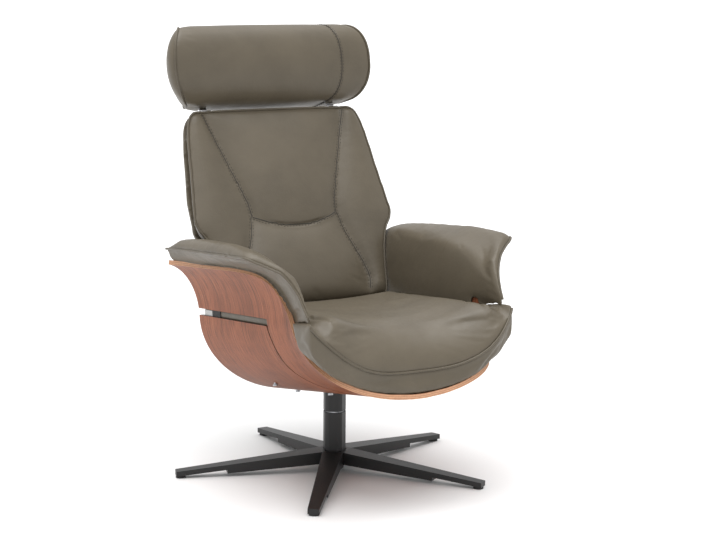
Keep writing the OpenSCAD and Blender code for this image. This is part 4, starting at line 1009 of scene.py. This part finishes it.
# Painted shade along the V seams and the yoke
seam_shadow_lines("back_seam_shadows", back_skin, seams + [yoke], "back")
stitches("back_stitches", back_skin, seams, (-4.5, 4.5), "back")
stitches("yoke_stitches", back_skin, [yoke], (-4.5,), "back")
collars = [[in_back(x + end * COLLAR_HALF_W, COLLAR_F, COLLAR_U) for end in (-1, 1)]
           for x in (-COLLAR_X, COLLAR_X)]
tube("bar_collars", collars, COLLAR_RADIUS, "back", chrome, slot="chrome")
soft_form("rear_cover_leather", "rear_cover", "back", lambda point: COVER_HELD, cover_shape, cap=3)

# Headrest
HEAD_HALF_W, HEAD_H, HEAD_D = 271, 205, 150
HEAD_BACK, HEAD_LIFT = 5, 7.35
HEAD_TAPER, HEAD_TOP, HEAD_LOW = 0.24, 0.05, 0.075
HEAD_SQUARE = 2.7
HEAD_STEPS = 120
HEAD_END_SIZE = 0.96
HEAD_SEAM_X, HEAD_SEAM_NARROW = 184, 0.98
HEAD_SETTLE, HEAD_SETTLE_UP, HEAD_SETTLE_IN, HEAD_SETTLE_AHEAD = 17, 50, 60, 15


def squarish(v):
    """A sine or cosine, for a rounded square in place of a circle."""
    return math.copysign(abs(v) ** (2 / HEAD_SQUARE), v)


def head_ring(x, size):
    """The headrest's outline at a place across."""
    out = []
    for i in range(HEAD_STEPS + 1):
        a = math.tau * i / HEAD_STEPS
        f, h = squarish(math.sin(a)) * size, squarish(math.cos(a)) * size
        narrow = 1 - HEAD_TAPER * (1 - f) / 2 - (HEAD_TOP if h > 0 else HEAD_LOW) * h * h
        out.append(in_head(x * narrow, f * HEAD_D / 2 - HEAD_BACK, HEAD_LIFT + (1 + h) * HEAD_H / 2))
    return out


def head_shape(point):
    """Fills the headrest's underside towards its rear."""
    x, ahead, up = from_shell(point)
    hinge_ahead, hinge_up = back_to_shell(HINGE_F, HINGE_U)
    low = clamp01((HEAD_SETTLE_UP - up + hinge_up) / HEAD_SETTLE_UP)
    up -= HEAD_SETTLE * low * clamp01((hinge_ahead - ahead + HEAD_SETTLE_AHEAD) / HEAD_SETTLE_IN)
    return in_shell(x, ahead, up)


end_rings = [head_ring(side * HEAD_HALF_W, HEAD_END_SIZE) for side, _ in SIDES]
head_seam = head_ring(HEAD_SEAM_X / HEAD_SEAM_NARROW, 1.0)
head = soft_form("headrest_leather", "headrest_cushion", "headrest",
                 holder(end_rings + [head_seam], near=18), head_shape, cap=6, shrink=1.5)
press(head, [head_seam], width=5.5, depth=1.6)
press(head, end_rings, width=6, depth=1.6)
head_skin = surface_of(head)
open_rings = [ring[:-1] for ring in end_rings]
piping("headrest_piping", head_skin, open_rings, "headrest", THIN_PIPING, closed=True)
# Painted shade along the headrest's seam
seam_shadow_lines("headrest_seam_shadow", head_skin, [head_seam], "headrest")
stitches("headrest_stitches", head_skin, [head_seam], (-4, 4), "headrest")

# Leather strip in the slot on each side
STRIP_REAR, STRIP_IN, STRIP_OUT, STRIP_CLEAR = -66.7, 238.5, 243, 0.3
STRIP_STEPS, STRIP_SIDES = 60, 16


def slot_strip(side, label):
    """A rounded leather strip that fills the slot."""
    name = "slot_leather_" + label
    build = bmesh.new()
    rings = []
    for ahead in spread(STRIP_REAR, SLOT_END, STRIP_STEPS):
        ring = []
        for k in range(STRIP_SIDES):
            a = math.tau * k / STRIP_SIDES
            x = mix(STRIP_IN, STRIP_OUT, 0.5 + 0.5 * squarish(math.cos(a)))
            up = slot_low(ahead) + (SLOT_H - STRIP_CLEAR) * (0.5 + 0.5 * squarish(math.sin(a)))
            ring.append(build.verts.new(in_shell(side * x, ahead, up)))
        rings.append(ring)
    skin_rings(build, rings)
    bmesh.ops.recalc_face_normals(build, faces=build.faces)
    strip = new_object(name, mesh_from(build, name, sharp=40), "swivel", "taupe_leather", hide)
    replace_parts(strip, "slot_strip_" + label)


for side, label in SIDES:
    slot_strip(side, label)

# Floor, light and camera, in metres
FLOOR_REACH, FLOOR_GRAY, FLOOR_ROUGH = 90, 0.76, 0.7
SKY_STRENGTH = 0.9
# Each lamp's name, turn, dip, power and the angle that it seems wide
LAMPS = (("key", -24, 14, 2.1, 50), ("top", 10, -16, 1.3, 60))
CAMERA_PLACE = Vector((-2.046, AXIS_Y * MM - 3.881, 1.249))
CAMERA_TURN, CAMERA_DIP, CAMERA_ROLL = math.radians(28.51), math.radians(9.78), math.radians(0.41)
LENS, SENSOR = 93.67, 36

floor_mesh = bpy.data.meshes.new("floor")
floor_corners = [(x * FLOOR_REACH, y * FLOOR_REACH, 0) for x, y in ((-1, -1), (1, -1), (1, 1), (-1, 1))]
floor_mesh.from_pydata(floor_corners, [], [(0, 1, 2, 3)])
floor_material, _, floor_shader = new_material("floor_white")
floor_shader.inputs["Base Color"].default_value = (*gray(FLOOR_GRAY), 1)
floor_shader.inputs["Roughness"].default_value = FLOOR_ROUGH
new_object("floor", floor_mesh, None, None, floor_material)

world = bpy.data.worlds.new("studio")
bpy.context.scene.world = world
world.use_nodes = True
sky = world.node_tree.nodes["Background"]
sky.inputs["Color"].default_value = (1, 1, 1, 1)
sky.inputs["Strength"].default_value = SKY_STRENGTH
bpy.context.scene.view_settings.view_transform = "Standard"

for name, turn, dip, power, width in LAMPS:
    lamp = bpy.data.lights.new(name, "SUN")
    lamp.energy = power
    lamp.angle = math.radians(width)
    lamp_object = new_object(name, lamp, None, None)
    lamp_object.rotation_euler = (math.radians(dip), 0, math.radians(turn))

camera = bpy.data.cameras.new("camera")
camera.lens = LENS
camera.sensor_width = SENSOR
camera_object = new_object("camera", camera, None, None)
look = Vector((math.sin(CAMERA_TURN) * math.cos(CAMERA_DIP), math.cos(CAMERA_TURN) * math.cos(CAMERA_DIP),
               -math.sin(CAMERA_DIP)))
level = look.cross(Vector((0, 0, 1))).normalized()
right = level * math.cos(CAMERA_ROLL) + level.cross(look) * math.sin(CAMERA_ROLL)
above = right.cross(look)
camera_object.matrix_world = Matrix.Translation(CAMERA_PLACE) @ Matrix(
    (right, above, -look)).transposed().to_4x4()
bpy.context.scene.camera = camera_object
